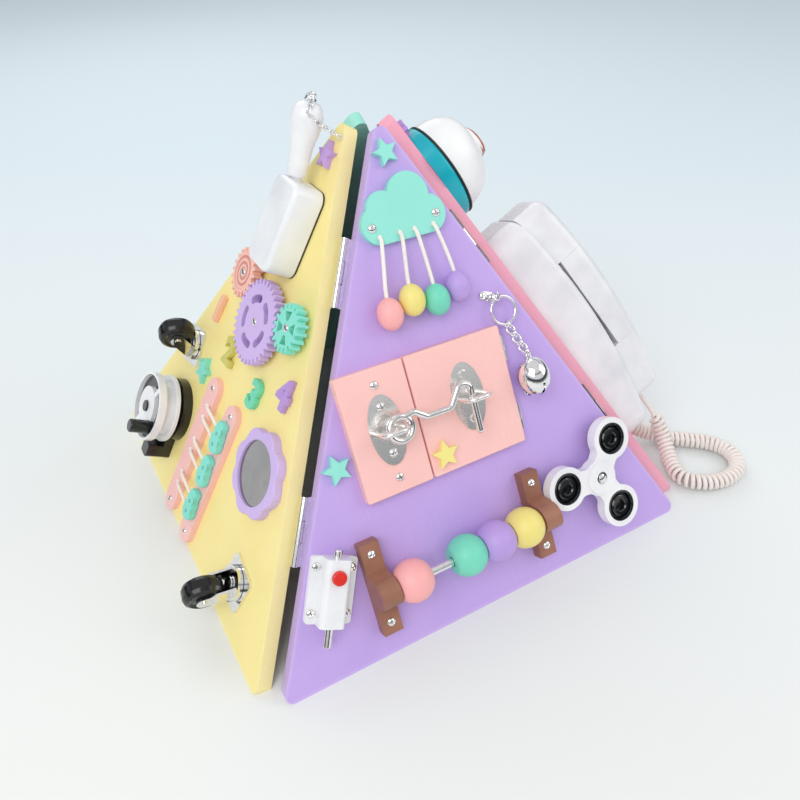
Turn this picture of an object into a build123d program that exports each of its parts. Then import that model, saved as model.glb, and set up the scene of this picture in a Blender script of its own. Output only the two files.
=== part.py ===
"""Wooden busy board: a pyramid of four hinged triangular boards with play hardware.

The four boards lean together over a square plan, stand on their bottom edges and are
joined by butt hinges inside the corners. Each board has its own plane: X to the right
as seen from outside, Y up the slope from the middle of its bottom edge, Z outwards.
"""
from build123d import *
from math import acos, atan2, cos, degrees, hypot, pi, radians, sin, tan
import os

# ---------------------------------------------------------------- driving sizes, mm
PANEL_WIDTH = 300.0          # outer face, along the floor
PANEL_HEIGHT = 300.0         # outer face, up the slope
PANEL_THICK = 9.0
PANEL_TIP_RADIUS = 5.0
CORNER_SETBACK = 12.1        # from the end of a board to the corner of the plan
ARRIS = 0.8                  # softened edges of the wooden pieces

SCREW_SHANK = 1.5            # radius
SCREW_HEAD = 2.6             # radius
SCREW_HEAD_HIGH = 1.2
SCREW_GRIP = 5.0             # length of thread in the board

HINGE_LENGTH = 40.0
HINGE_BARREL = 2.2           # radius
HINGE_PIN = 1.1              # radius
HINGE_LEAF_WIDE = 14.0
HINGE_LEAF_THICK = 1.2
HINGE_PLACES = (98.0, 246.0)   # along the slanting edge, from the floor
HINGE_KNUCKLE_GAP = 0.4
RUNNING_GAP = 0.1            # radial, where one piece turns on another
FREE_GAP = 0.3               # between pieces that move past each other
LOOSE_GAP = 0.7              # more room round the knuckles of the corner that has no pin

CUTOUT_THICK = 4.0
STAR_WAIST = 0.47            # inner radius over outer radius
CLOUD_BASE = 230.2
CLOUD_LOBES = ((-17.5, 241.2, 11.0), (-13.0, 250.0, 9.5), (4.5, 254.0, 13.0), (14.5, 241.2, 11.0))
CLOUD_SCREWS = ((-22.5, 240.4), (19.0, 240.4))
CLOUD_CORD_HOLES = ((-19.5, 234.5), (-6.5, 234.5), (3.0, 234.5), (15.5, 234.5))
PURPLE_STARS = ((-2.0, 279.0, 8.0, 12.0), (-81.5, 118.0, 9.0, 10.0))
YELLOW_STARS = ((0.0, 274.4, 8.5, 6.0), (-48.3, 102.5, 10.0, -8.0))

HANG_BEADS = {"pink": (-27.4, 192.5), "yellow": (-11.9, 196.5),
              "green": (3.6, 192.6), "purple": (19.1, 196.3)}
HANG_BEAD_WIDE = 7.6         # half of the bead's width
HANG_BEAD_LONG = 9.4         # half of the bead's length, along the cord
CORD_RADIUS = 0.9
CORD_KNOT = 1.9              # radius

DOOR_LEFT = -70.5
DOOR_SPLIT = -26.6
DOOR_RIGHT = 40.0
DOOR_BOTTOM = 92.5
DOOR_TOP = 167.0
DOOR_THICK = 6.0
DOOR_GAP = 0.5
DOOR_SCREWS = ((-47.7, 157.0), (-47.7, 101.5))
DOOR_STAR = (-16.8, 104.2, 9.0, 0.0)
DOOR_HINGE_PLACES = (108.0, 152.0)
DOOR_HINGE_LENGTH = 16.0
DOOR_HINGE_BARREL = 1.6      # radius
DOOR_HINGE_PIN = 0.8         # radius
DOOR_HINGE_LEAF = 8.0
DOOR_HINGE_THICK = 0.8

HOOK_PLATE_WIDE = 22.0
HOOK_PLATE_LONG = 42.0
HOOK_PLATE_THICK = 1.2
HOOK_PLATE_SCREWS = 13.8     # from the middle of the plate
HOOK_PLATES = ((-47.8, 130.5), (7.7, 132.4))
STAPLE_SPREAD = 7.5          # half, between the staple's legs
STAPLE_RADIUS = 1.5
STAPLE_TOP = 22.8            # middle of the staple's wire
HOOK_RADIUS = 2.1
HOOK_EYE_WIRE = 2.0          # radius
HOOK_EYE = 7.0               # to the middle of the wire
HOOK_EYE_PLACE = (4.6, 0.0)  # from the middle of the left plate
HOOK_HEIGHT = 16.5           # middle of the wire above the board

BELL_EYE = (44.9, 183.0)
BELL_RING = (47.4, 174.2)
BELL_RING_RADIUS = 8.6
BELL_CENTRE = (52.5, 130.5)
BELL_WIDE = 10.2             # half
BELL_LONG = 12.6             # half
BELL_WALL = 1.0
BELL_HIGH = 11.6             # middle of the bell above the board
BELL_WIRE = 0.9
EYE_RADIUS = 2.6             # to the middle of the wire
EYE_WIRE = 0.8
EYE_HIGH = 4.2
EYE_SCREW = (37.9, 186.0)
CHAIN_LINKS = 7
LINK_RADIUS = 2.7
LINK_WIRE = 0.6

LATCH_CENTRE = (45.0 - PANEL_WIDTH / 2, 54.6)
LATCH_TURN = -24.5           # degrees, its long side follows the board's edge
LATCH_WIDE = 27.5
LATCH_LONG = 38.5
LATCH_FLANGE_HIGH = 3.5
LATCH_RIDGE_WIDE = 15.0
LATCH_RIDGE_HIGH = 13.0
LATCH_SCREWS = (10.6, 13.2)
LATCH_ROD = 2.5              # radius
LATCH_ROD_HIGH = 7.0
LATCH_ROD_SPAN = (-31.5, 24.0)
LATCH_BUTTON = 4.1           # radius
LATCH_BUTTON_UP = 9.5
LATCH_BUTTON_PROUD = 2.4
LATCH_BUTTON_TRAVEL = 1.5

RAIL_BRACKETS = (-78.0, 35.0)
RAIL_LINE = 44.5             # up the slope
RAIL_BRACKET_WIDE = 12.0
RAIL_BRACKET_LONG = 57.0
RAIL_BRACKET_END = 8.0       # thickness at its ends
RAIL_HEIGHT = 16.0           # axis of the rod above the board
RAIL_HUMP = 8.5              # radius round the rod
RAIL_ROD = 2.5               # radius
RAIL_SCREW_UP = 21.4         # from the rod's axis
RAIL_BEADS = {"pink": -61.0, "green": -24.3, "purple": -3.2, "yellow": 17.9}
RAIL_BEAD_RADIUS = 12.6
RAIL_BEAD_LONG = 20.4
RAIL_BEAD_BORE = 3.2         # radius

SPINNER_CENTRE = (82.0, 52.5)
SPINNER_ARM = 26.4
SPINNER_TURN = 55.0          # degrees, first arm from the board's X
SPINNER_LOBE = 14.0
SPINNER_HUB = 12.0
SPINNER_WEIGHT = 10.4        # radius
SPINNER_BASE = 8.0           # underside above the board
SPINNER_THICK = 7.0
SPINNER_PIN = 4.0            # radius
SPINNER_CAP = 10.6           # radius

BOX_CENTRE = (0.0, 227.8)
BOX_WIDE = 30.0
BOX_LONG = 54.4
BOX_HIGH = 20.0
BOX_FOOT = 1.2
PLUG_MOUTH = (-5.0, 12.0)    # across the board and above it, at the top side of the box
PLUG_TILT = 12.0             # degrees, its free end stands away from the board
PLUG_PIN = 4.0               # radius of the part inside the box
PLUG_PIN_LONG = 12.0
CHAIN_ANCHOR = (9.5, 284.0)
CHAIN_BEND = (8.5, -3.5, 43.0)   # beside the plug's free end
CHAIN_RADIUS = 1.3

GEAR_MODULE = 1.5
GEAR_BACKLASH = 0.3          # added to the distance between two gears
GEAR_BASE = 3.0
GEAR_THICK = 6.0
GEAR_BIG = (5.5, 167.0)
GEAR_BIG_TEETH = 34
GEAR_PINK_TEETH = 20
GEAR_PINK_BEARING = 155.0    # degrees, seen from the big gear
GEAR_MINT_TEETH = 18
GEAR_MINT_BEARING = 22.0
GEAR_BORE = 2.6              # radius

CASTER_PLACES = {"upper": (-77.0, 107.0, 10.0, 63.0), "lower": (88.6, 32.0, -8.0, -108.0)}
CASTER_PLATE = 27.0
CASTER_PLATE_THICK = 2.0
CASTER_TRAIL = 9.5
CASTER_AXLE_HIGH = 18.8
CASTER_WHEEL = 12.5          # radius
CASTER_WHEEL_WIDE = 12.0
CASTER_HUB = 7.0             # radius
CASTER_AXLE = 2.0            # radius
CASTER_CHEEK = 1.4

REEL_CENTRE = (-66.0, 58.0)
REEL_RADIUS = 25.0
REEL_FRAME_HIGH = 7.0
REEL_SPOOL_TOP = 25.0
REEL_SPINDLE = 3.0           # radius
REEL_KNOB = (13.5, -9.5)     # from the middle of the reel
REEL_KNOB_RADIUS = 4.8
REEL_KNOB_TOP = 38.0

TOGGLE_BARS = (-22.0, 13.6)
TOGGLE_BAR_WIDE = 17.0
TOGGLE_BAR_SPAN = (2.0, 110.0)
TOGGLE_BAR_THICK = 4.2
TOGGLE_PLACES = (86.5, 59.5, 32.0)
TOGGLE_ACROSS = 13.8
TOGGLE_LONG = 23.0
TOGGLE_THICK = 4.6
TOGGLE_CORD_PITCH = 9.0

MIRROR_CENTRE = (66.0, 97.0)
MIRROR_RADIUS = 20.0
MIRROR_FRAME = 27.5
MIRROR_LOBES = 8
MIRROR_LOBE_DEEP = 2.5
MIRROR_FRAME_THICK = 6.0

LAMP_CENTRE = (0.0, 241.5)
LAMP_LONG = 33.5             # half, up the slope
LAMP_WIDE = 27.0             # half, across
LAMP_BASE_HIGH = 10.5
LAMP_DOME_HIGH = 36.0
LAMP_BEZEL = 10.5            # radius
LAMP_BUTTON = 5.4            # radius
LAMP_BUTTON_TRAVEL = 2.0

PHONE_CENTRE = (-54.3, 107.5)
PHONE_TURN = -26.565         # degrees, along the board's near edge
PHONE_LONG = 180.0
PHONE_WIDE = 56.0
PHONE_FOOT = 1.2
HANDSET_LONG = 162.0
HANDSET_SHIFT = 7.5          # up from the middle of the base
HANDSET_WIDE = 40.0
PHONE_ARCH = (19.0, 33.6, 28.0)    # height of the base at its lower end, crown and upper end
PHONE_CROWN = 21.0                 # up from the middle of the base
HANDSET_ARCH = (46.5, 57.4, 51.8)  # height of the handset's back, likewise
HANDSET_CROWN = 12.0               # up from the middle of the handset
HANDSET_CLEAR = 36.2         # underside of the grip above the board
KEY_TRAVEL = 1.0
PHONE_CORD_RADIUS = 6.3
# Middle line of the curly cord between handset and base; it lies on the floor in a loop.
PHONE_CORD_ROUTE = ((174.5, -92.0, 44.5), (181.0, -99.5, 33.0), (184.5, -107.0, 22.0), (183.5, -115.5, 12.6),
                    (178.0, -127.5, 7.2), (168.8, -145.0, 7.0), (178.5, -157.5, 7.0), (197.0, -164.5, 7.0),
                    (215.5, -160.5, 7.0), (225.0, -145.0, 7.0), (219.5, -129.5, 7.0), (206.5, -118.5, 7.0),
                    (194.0, -108.0, 7.2), (183.0, -97.5, 9.0), (172.0, -91.0, 16.0))

STAPLE_BEND = 5.0            # radius of its corners
HOOK_BEND = 4.0
HOOK_ROUTE = ((-39.6, 136.4), (-33.0, 137.2), (-26.0, 132.0), (-10.0, 131.5), (-1.0, 143.5),
              (5.5, 140.5), (5.0, 113.0))
BELL_STRAP = 1.0
BELL_SLOT = 1.8
LATCH_BUTTON_SEAT = 10.2     # floor of the button's well
DOOR_HINGE_GAP = 0.3
RAIL_ROD_GRIP = 8.0          # how much of the rod sits in the brackets
SPINNER_BLEND = 4.0
SPINNER_CAP_HIGH = 1.5
SPINNER_WEIGHT_BORE = 3.8    # radius
BOX_CORNER = 7.0
BOX_EDGE = 3.0
PLUG_LOOP_UP = 44.2
PLUG_LOOP = 3.4              # radius
PLUG_LOOP_WIRE = 0.9
PLUG_NECK = 5.5              # radii along the plug
PLUG_BODY = 9.4
PLUG_WAIST = 8.2
GEAR_PLAY = 0.06             # taken off each flank at the pitch line
GEAR_SLOT_REACH = 14.5
GEAR_SLOT_WIDE = 5.0
GEAR_SLOT_SWEEP = 36.0       # degrees
CASTER_KINGPIN = 3.0         # radius
CASTER_SWIVEL = 11.0         # radius
CASTER_DISC_TOP = 5.6
REEL_BLOCK_HIGH = 18.0
REEL_BLOCK_WIDE = 11.0
REEL_BLOCK_LONG = 12.0
REEL_RIM = 2.0
REEL_DISH = 3.0
REEL_HUB = 14.5              # radius
REEL_SPOKE_TURN = 62.0
TOGGLE_HOLE = 1.3            # radius
MIRROR_LOBE = 10.5           # radius
MIRROR_SEAT = 2.5
MIRROR_GLASS_THICK = 2.0
LAMP_STEP = 1.5              # ledge of the base round the dome
LAMP_ROUNDING = 0.25
LAMP_DOME_STEPS = ((0.0, 1.0), (0.35, 0.95), (0.65, 0.82), (0.88, 0.6), (1.0, 0.38))
LAMP_BEZEL_HIGH = 2.8
LAMP_BUTTON_PROUD = 2.5
PHONE_CORNER = 16.0
PHONE_EDGE = 5.0
HANDSET_CORNER = 9.0
HANDSET_EDGE = 8.0
HANDSET_GAP = (-27.0, 47.0)  # where the underside of the handset stands clear
HANDSET_SEAM = 0.1           # between the grip and the two cups
KEYPAD_WIDE = 35.0
KEYPAD_LONG = 50.0
KEYPAD_SHIFT = 9.0           # up from the middle of the base
KEYPAD_SEAT = 26.5
KEYPAD_HIGH = 3.0
KEY_PITCH = 12.0
KEY_SIZE = 9.6
KEY_TOP = 34.6
CORD_OUTLET_HIGH = 33.0
CORD_INLET = 10.0            # across the base
CORD_INLET_HIGH = 8.5

# ---------------------------------------------------------------- the four faces
LEAN = acos(PANEL_WIDTH / 2 / PANEL_HEIGHT)      # slope of a face from the floor
FACE_DISTANCE = PANEL_WIDTH / 2 + CORNER_SETBACK
INNER_DISTANCE = FACE_DISTANCE - PANEL_THICK / sin(LEAN)
EDGE_TILT = degrees(atan2(PANEL_WIDTH / 2, PANEL_HEIGHT))


def face_plane(side):
    """Plane of a board's outer face: 0 purple, 1 pink, 2 mint, 3 yellow."""
    outwards = Vector(0, -1, 0).rotate(Axis.Z, 90 * side)
    across = Vector(1, 0, 0).rotate(Axis.Z, 90 * side)
    normal = outwards * sin(LEAN) + Vector(0, 0, cos(LEAN))
    return Plane(origin=outwards * FACE_DISTANCE, x_dir=across, z_dir=normal)


PURPLE, PINK, MINT, YELLOW = (face_plane(side) for side in range(4))
pieces = {}


def keep(name, shape):
    """Label a finished sub-part and put it on the list to export."""
    shape.label = name
    pieces[name] = shape


def outwards_axis(plane):
    return Axis(plane.origin, plane.z_dir)


def spot(plane, u, v, height):
    """A point over a board, in the common frame."""
    return plane.from_local_coords(Vector(u, v, height))


def turned(plane, place, angle, height=0.0):
    """A plane on a board, moved to a place on it and turned about its normal."""
    across = plane.x_dir * cos(radians(angle)) + plane.y_dir * sin(radians(angle))
    return Plane(origin=spot(plane, *place, height), x_dir=across, z_dir=plane.z_dir)


def across_plane(plane, u, v, height=0.0):
    """Looks along the board's X: its own X runs up the slope, its Y outwards."""
    return Plane(origin=spot(plane, u, v, height), x_dir=plane.y_dir, z_dir=plane.x_dir)


def section_plane(plane, u, v, height=0.0):
    """Looks down the slope: its own X runs along the board's X, its Y outwards."""
    return Plane(origin=spot(plane, u, v, height), x_dir=plane.x_dir, z_dir=-plane.y_dir)


def soften(builder, plane, size=ARRIS):
    """Round the top outline of a flat piece."""
    fillet(builder.faces().sort_by(outwards_axis(plane))[-1].outer_wire().edges(), size)


def disc(plane, place, radius, base, thick, mode=Mode.ADD, taper=0.0):
    """Round boss or round hole square to a board."""
    with BuildSketch(plane.offset(base)) as profile:
        with Locations(place):
            Circle(radius)
    extrude(profile.sketch, amount=thick, taper=taper, mode=mode)


def slab(plane, left, right, bottom, top, base, thick, mode=Mode.ADD, corner=0.0):
    """Rectangular block between limits on a board."""
    with BuildSketch(plane.offset(base)) as profile:
        with Locations(((left + right) / 2, (bottom + top) / 2)):
            if corner:
                RectangleRounded(right - left, top - bottom, corner)
            else:
                Rectangle(right - left, top - bottom)
    extrude(profile.sketch, amount=thick, mode=mode)


def rod_between(start, end, radius):
    """Straight round rod between two points."""
    with BuildSketch(Plane(origin=start, z_dir=end - start)) as section:
        Circle(radius)
    extrude(section.sketch, amount=(end - start).length)


def wire_loop(centre, axis, radius, wire):
    """Closed ring of round wire."""
    side = Vector(0, 0, 1).cross(axis) if abs(axis.Z) < 0.9 else Vector(1, 0, 0).cross(axis)
    side = side.normalized()
    with BuildSketch(Plane(origin=centre + side * radius, x_dir=side, z_dir=axis.cross(side))) as section:
        Circle(wire)
    revolve(section.sketch, axis=Axis(centre, axis))


def star_solid(plane, u, v, outer, turn, base, thick):
    """Five-pointed star, flat on a board."""
    points = []
    for point in range(10):
        reach = outer if point % 2 == 0 else outer * STAR_WAIST
        angle = pi / 2 + point * pi / 5
        points.append((reach * cos(angle), reach * sin(angle)))
    with BuildSketch(turned(plane, (u, v), turn, base)) as profile:
        Polygon(*points, align=None)
    extrude(profile.sketch, amount=thick)


# ---------------------------------------------------------------- screws
LATCH = turned(PURPLE, LATCH_CENTRE, LATCH_TURN)


def latch_screw_places():
    """The four corners of the catch's flange, in the purple board's plane."""
    places = []
    for side in (-1, 1):
        for end in (-1, 1):
            corner = LATCH.from_local_coords(Vector(side * LATCH_SCREWS[0], end * LATCH_SCREWS[1], 0))
            local = PURPLE.to_local_coords(corner)
            places.append((local.X, local.Y, LATCH_FLANGE_HIGH))
    return places


def hook_plate_screws(plate):
    """The two screws of an oval hook plate."""
    u, v = plate
    seat = DOOR_THICK + HOOK_PLATE_THICK
    return [(u, v - HOOK_PLATE_SCREWS, seat), (u, v + HOOK_PLATE_SCREWS, seat)]


PURPLE_SCREWS = [(u, v, CUTOUT_THICK) for u, v in CLOUD_SCREWS]
PURPLE_SCREWS += [(u, v, DOOR_THICK) for u, v in DOOR_SCREWS]
PURPLE_SCREWS += hook_plate_screws(HOOK_PLATES[0])
PURPLE_SCREWS += latch_screw_places()
for bracket in RAIL_BRACKETS:
    PURPLE_SCREWS += [(bracket, RAIL_LINE + step, RAIL_BRACKET_END) for step in (-RAIL_SCREW_UP, RAIL_SCREW_UP)]
PURPLE_SCREWS.append((*EYE_SCREW, BELL_STRAP))

YELLOW_SCREWS = []
for bar in TOGGLE_BARS:
    inset = TOGGLE_BAR_WIDE * 0.42
    YELLOW_SCREWS.append((bar, TOGGLE_BAR_SPAN[0] + inset, TOGGLE_BAR_THICK))
    YELLOW_SCREWS.append((bar, TOGGLE_BAR_SPAN[1] - inset, TOGGLE_BAR_THICK))


def screw(plane, u, v, seat, grip=SCREW_GRIP):
    """Pan-head screw: a thread into the board and a domed head on its seat."""
    disc(plane, (u, v), SCREW_SHANK, -grip, grip + seat)
    disc(plane, (u, v), SCREW_HEAD, seat, SCREW_HEAD_HIGH, taper=25)


def screw_holes(plane, places, base, depth):
    """Holes for screw threads."""
    for u, v, seat in places:
        disc(plane, (u, v), SCREW_SHANK, base, depth, mode=Mode.SUBTRACT)


# ---------------------------------------------------------------- boards
GEAR_BIG_PITCH = GEAR_MODULE * GEAR_BIG_TEETH / 2


def beside_big_gear(teeth, bearing):
    """Middle of a gear that meshes with the big one, seen from it at a bearing."""
    reach = GEAR_BIG_PITCH + GEAR_MODULE * teeth / 2 + GEAR_BACKLASH
    return (GEAR_BIG[0] + reach * cos(radians(bearing)), GEAR_BIG[1] + reach * sin(radians(bearing)))


GEAR_PINK = beside_big_gear(GEAR_PINK_TEETH, GEAR_PINK_BEARING)
GEAR_MINT = beside_big_gear(GEAR_MINT_TEETH, GEAR_MINT_BEARING)
GEAR_PIVOTS = [(*place, 0.0) for place in (GEAR_BIG, GEAR_PINK, GEAR_MINT)]
SPINNER_SCREW = [(*SPINNER_CENTRE, 0.0)]


def board(plane, screws):
    """Triangular plywood board with square-cut sides and a foot cut level."""
    with BuildSketch(plane) as outline:
        Polygon((-PANEL_WIDTH / 2, 0), (PANEL_WIDTH / 2, 0), (0, PANEL_HEIGHT), align=None)
        fillet(outline.vertices(), PANEL_TIP_RADIUS)
    extrude(outline.sketch, amount=-PANEL_THICK)
    level = Plane.XY.offset(-PANEL_THICK)
    with BuildSketch(level) as below:
        Rectangle(4 * PANEL_WIDTH, 4 * PANEL_WIDTH)
    extrude(below.sketch, amount=PANEL_THICK, mode=Mode.SUBTRACT)
    screw_holes(plane, screws, -SCREW_GRIP, 2 * SCREW_GRIP)


with BuildPart(PURPLE) as purple_panel:
    board(PURPLE, PURPLE_SCREWS + SPINNER_SCREW)
keep("purple_panel", purple_panel.part)

with BuildPart(PINK) as pink_panel:
    board(PINK, [])
keep("pink_panel", pink_panel.part)

with BuildPart(MINT) as mint_panel:
    board(MINT, [])
keep("mint_panel", mint_panel.part)

with BuildPart(YELLOW) as yellow_panel:
    board(YELLOW, YELLOW_SCREWS + GEAR_PIVOTS)
keep("yellow_panel", yellow_panel.part)

# ---------------------------------------------------------------- corner hinges
# The barrels turn about the line where the inner faces of two boards would meet.
BARREL_OUT = (INNER_DISTANCE - PANEL_WIDTH / 2) * cos(radians(EDGE_TILT))
BARREL_OUT += PANEL_THICK / tan(LEAN) * sin(radians(EDGE_TILT))
KNUCKLE = HINGE_LENGTH / 3


def hinge_frame(plane, side, along):
    """Frame on the inner face at a slanting edge: X out over the edge, Y up along it."""
    corner = spot(plane, side * PANEL_WIDTH / 2, 0, -PANEL_THICK)
    up = (plane.y_dir * PANEL_HEIGHT - plane.x_dir * (side * PANEL_WIDTH / 2)).normalized()
    out = (plane.x_dir * (side * PANEL_HEIGHT) + plane.y_dir * (PANEL_WIDTH / 2)).normalized()
    return Plane(origin=corner + up * along, x_dir=out, z_dir=out.cross(up))


def hinge_leaf(plane, side, along, outer, pinned, loose):
    """Leaf on the inner face with two outer knuckles and the pin, or with the middle one."""
    frame = hinge_frame(plane, side, along)
    inwards = -HINGE_LEAF_THICK if frame.z_dir.dot(plane.z_dir) > 0 else HINGE_LEAF_THICK
    spare = LOOSE_GAP if loose else 0.0
    reach = BARREL_OUT - HINGE_BARREL - FREE_GAP - spare
    slab(frame, -HINGE_LEAF_WIDE, reach, -HINGE_LENGTH / 2, HINGE_LENGTH / 2, 0, inwards)
    middles = (-KNUCKLE, KNUCKLE) if outer else (0,)
    half = KNUCKLE / 2 if outer else KNUCKLE / 2 - HINGE_KNUCKLE_GAP - 2 * spare
    for middle in middles:
        slab(frame, reach - 1, BARREL_OUT, middle - half, middle + half, 0, inwards)
        rod_between(spot(frame, BARREL_OUT, middle - half, 0),
                    spot(frame, BARREL_OUT, middle + half, 0), HINGE_BARREL)
    bore = HINGE_PIN if pinned else HINGE_PIN + RUNNING_GAP
    ends = [spot(frame, BARREL_OUT, end * HINGE_LENGTH / 2, 0) for end in (-1, 1)]
    with BuildSketch(Plane(origin=ends[0], z_dir=ends[1] - ends[0])) as section:
        Circle(bore)
    extrude(section.sketch, amount=HINGE_LENGTH, mode=Mode.SUBTRACT)
    if pinned:
        rod_between(ends[0], ends[1], HINGE_PIN)


def hinge_leaves(plane, seams):
    """The leaves of one board, for each seam: side, outer knuckles or not, pin or not, loose or not."""
    for side, outer, pinned, loose in seams:
        for along in HINGE_PLACES:
            hinge_leaf(plane, side, along, outer, pinned, loose)


with BuildPart(PINK) as pink_hinge_leaves:
    hinge_leaves(PINK, [(-1, True, True, False), (1, True, True, False)])
keep("pink_hinge_leaves", pink_hinge_leaves.part)

with BuildPart(MINT) as mint_hinge_leaves:
    hinge_leaves(MINT, [(-1, False, False, False), (1, False, False, True)])
keep("mint_hinge_leaves", mint_hinge_leaves.part)

with BuildPart(YELLOW) as yellow_hinge_leaves:
    hinge_leaves(YELLOW, [(1, False, False, False), (-1, True, False, True)])
keep("yellow_hinge_leaves", yellow_hinge_leaves.part)


def door_barrel(middle, length, bore):
    """Knuckle of a door hinge, along the slope beside the door."""
    start = spot(PURPLE, DOOR_AXIS, middle - length / 2, DOOR_AXIS_HIGH)
    end = spot(PURPLE, DOOR_AXIS, middle + length / 2, DOOR_AXIS_HIGH)
    rod_between(start, end, DOOR_HINGE_BARREL)
    if bore:
        with BuildSketch(Plane(origin=start, z_dir=end - start)) as section:
            Circle(DOOR_HINGE_PIN + RUNNING_GAP)
        extrude(section.sketch, amount=length, mode=Mode.SUBTRACT)


DOOR_KNUCKLE = DOOR_HINGE_LENGTH / 3
DOOR_AXIS = DOOR_RIGHT + DOOR_HINGE_BARREL + FREE_GAP
DOOR_AXIS_HIGH = DOOR_HINGE_BARREL + FREE_GAP

with BuildPart(PURPLE) as purple_hinge_leaves:
    hinge_leaves(PURPLE, [(1, False, False, False), (-1, True, True, False)])
    for place in DOOR_HINGE_PLACES:
        half = DOOR_HINGE_LENGTH / 2
        near = DOOR_AXIS - DOOR_HINGE_BARREL - FREE_GAP
        slab(PURPLE, near - DOOR_HINGE_LEAF, near, place - half, place + half, 0, DOOR_HINGE_THICK)
        for end in (-1, 1):
            middle = place + end * DOOR_KNUCKLE
            slab(PURPLE, near - 1, DOOR_AXIS, middle - DOOR_KNUCKLE / 2, middle + DOOR_KNUCKLE / 2,
                 0, DOOR_HINGE_THICK)
            door_barrel(middle, DOOR_KNUCKLE, False)
        rod_between(spot(PURPLE, DOOR_AXIS, place - half, DOOR_AXIS_HIGH),
                    spot(PURPLE, DOOR_AXIS, place + half, DOOR_AXIS_HIGH), DOOR_HINGE_PIN)
keep("purple_hinge_leaves", purple_hinge_leaves.part)

# ---------------------------------------------------------------- purple board: cloud and beads
with BuildPart(PURPLE) as mint_cutouts:
    with BuildSketch(PURPLE):
        for u, v, radius in CLOUD_LOBES:
            with Locations((u, v)):
                Circle(radius)
        left, right = CLOUD_LOBES[0][0], CLOUD_LOBES[-1][0]
        with Locations(((left + right) / 2, CLOUD_BASE + 10)):
            Rectangle(right - left, 20)
    extrude(amount=CUTOUT_THICK)
    for u, v in CLOUD_CORD_HOLES:
        disc(PURPLE, (u, v), CORD_KNOT - 0.3, 0, CUTOUT_THICK, mode=Mode.SUBTRACT)
    screw_holes(PURPLE, PURPLE_SCREWS[:len(CLOUD_SCREWS)], 0, CUTOUT_THICK)
    for u, v, outer, turn in PURPLE_STARS:
        star_solid(PURPLE, u, v, outer, turn, 0, CUTOUT_THICK)
keep("mint_cutouts", mint_cutouts.part)

with BuildPart(PURPLE) as bead_cords:
    for (u, v), hole in zip(HANG_BEADS.values(), CLOUD_CORD_HOLES):
        knot = spot(PURPLE, *hole, CUTOUT_THICK + CORD_KNOT * 0.7)
        with Locations((*hole, CUTOUT_THICK + CORD_KNOT * 0.7)):
            Sphere(CORD_KNOT)
        rod_between(knot, spot(PURPLE, u, v + HANG_BEAD_LONG + 0.2, HANG_BEAD_WIDE + 0.4), CORD_RADIUS)
keep("bead_cords", bead_cords.part)


def oval_bead(u, v):
    """Egg-shaped bead hanging a hair above the board."""
    height = HANG_BEAD_WIDE + 0.4
    with BuildSketch(PURPLE.offset(height)) as profile:
        with Locations((u, v)):
            Ellipse(HANG_BEAD_WIDE, HANG_BEAD_LONG)
        with Locations((u - HANG_BEAD_WIDE, v)):
            Rectangle(2 * HANG_BEAD_WIDE, 2 * HANG_BEAD_LONG + 1, mode=Mode.SUBTRACT)
    revolve(profile.sketch, axis=Axis(spot(PURPLE, u, v, height), PURPLE.y_dir))


for colour, (u, v) in HANG_BEADS.items():
    with BuildPart(PURPLE) as hanging_bead:
        oval_bead(u, v)
    keep("hanging_bead_" + colour, hanging_bead.part)

# ---------------------------------------------------------------- purple board: door and hook
with BuildPart(PURPLE) as door_post:
    slab(PURPLE, DOOR_LEFT, DOOR_SPLIT - DOOR_GAP, DOOR_BOTTOM, DOOR_TOP, 0, DOOR_THICK, corner=1.5)
    soften(door_post, PURPLE)
    screw_holes(PURPLE, [(*place, 0) for place in DOOR_SCREWS], 0, DOOR_THICK)
    screw_holes(PURPLE, hook_plate_screws(HOOK_PLATES[0]), 0, DOOR_THICK)
keep("door_post", door_post.part)

with BuildPart(PURPLE) as door_leaf:
    slab(PURPLE, DOOR_SPLIT + DOOR_GAP, DOOR_RIGHT, DOOR_BOTTOM, DOOR_TOP,
         FREE_GAP, DOOR_THICK - FREE_GAP, corner=1.5)
    soften(door_leaf, PURPLE)
    screw_holes(PURPLE, hook_plate_screws(HOOK_PLATES[1]), 2, DOOR_THICK)
    for place in DOOR_HINGE_PLACES:
        half = DOOR_HINGE_LENGTH / 2 + FREE_GAP
        slab(PURPLE, DOOR_RIGHT - DOOR_HINGE_LEAF - 2 * FREE_GAP, DOOR_RIGHT + 1, place - half, place + half,
             0, DOOR_AXIS_HIGH, mode=Mode.SUBTRACT)
    star_solid(PURPLE, *DOOR_STAR, DOOR_THICK, CUTOUT_THICK - 1)
keep("door_leaf", door_leaf.part)


def hook_plate_with_staple(place):
    """Oval plate with an upright staple across its middle."""
    with BuildSketch(PURPLE.offset(DOOR_THICK)) as oval:
        with Locations(place):
            Ellipse(HOOK_PLATE_WIDE / 2, HOOK_PLATE_LONG / 2)
    extrude(oval.sketch, amount=HOOK_PLATE_THICK)
    upright = section_plane(PURPLE, *place)
    foot = DOOR_THICK + HOOK_PLATE_THICK / 2
    with BuildLine(upright) as wire:
        FilletPolyline((-STAPLE_SPREAD, foot), (-STAPLE_SPREAD, STAPLE_TOP), (STAPLE_SPREAD, STAPLE_TOP),
                       (STAPLE_SPREAD, foot), radius=STAPLE_BEND)
    with BuildSketch(Plane(origin=wire.line @ 0, z_dir=PURPLE.z_dir)) as section:
        Circle(STAPLE_RADIUS)
    sweep(section.sketch, path=wire.line)


with BuildPart(PURPLE) as hook_plate:
    hook_plate_with_staple(HOOK_PLATES[0])
    screw_holes(PURPLE, hook_plate_screws(HOOK_PLATES[0]), DOOR_THICK, HOOK_PLATE_THICK)
keep("hook_plate", hook_plate.part)

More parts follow.
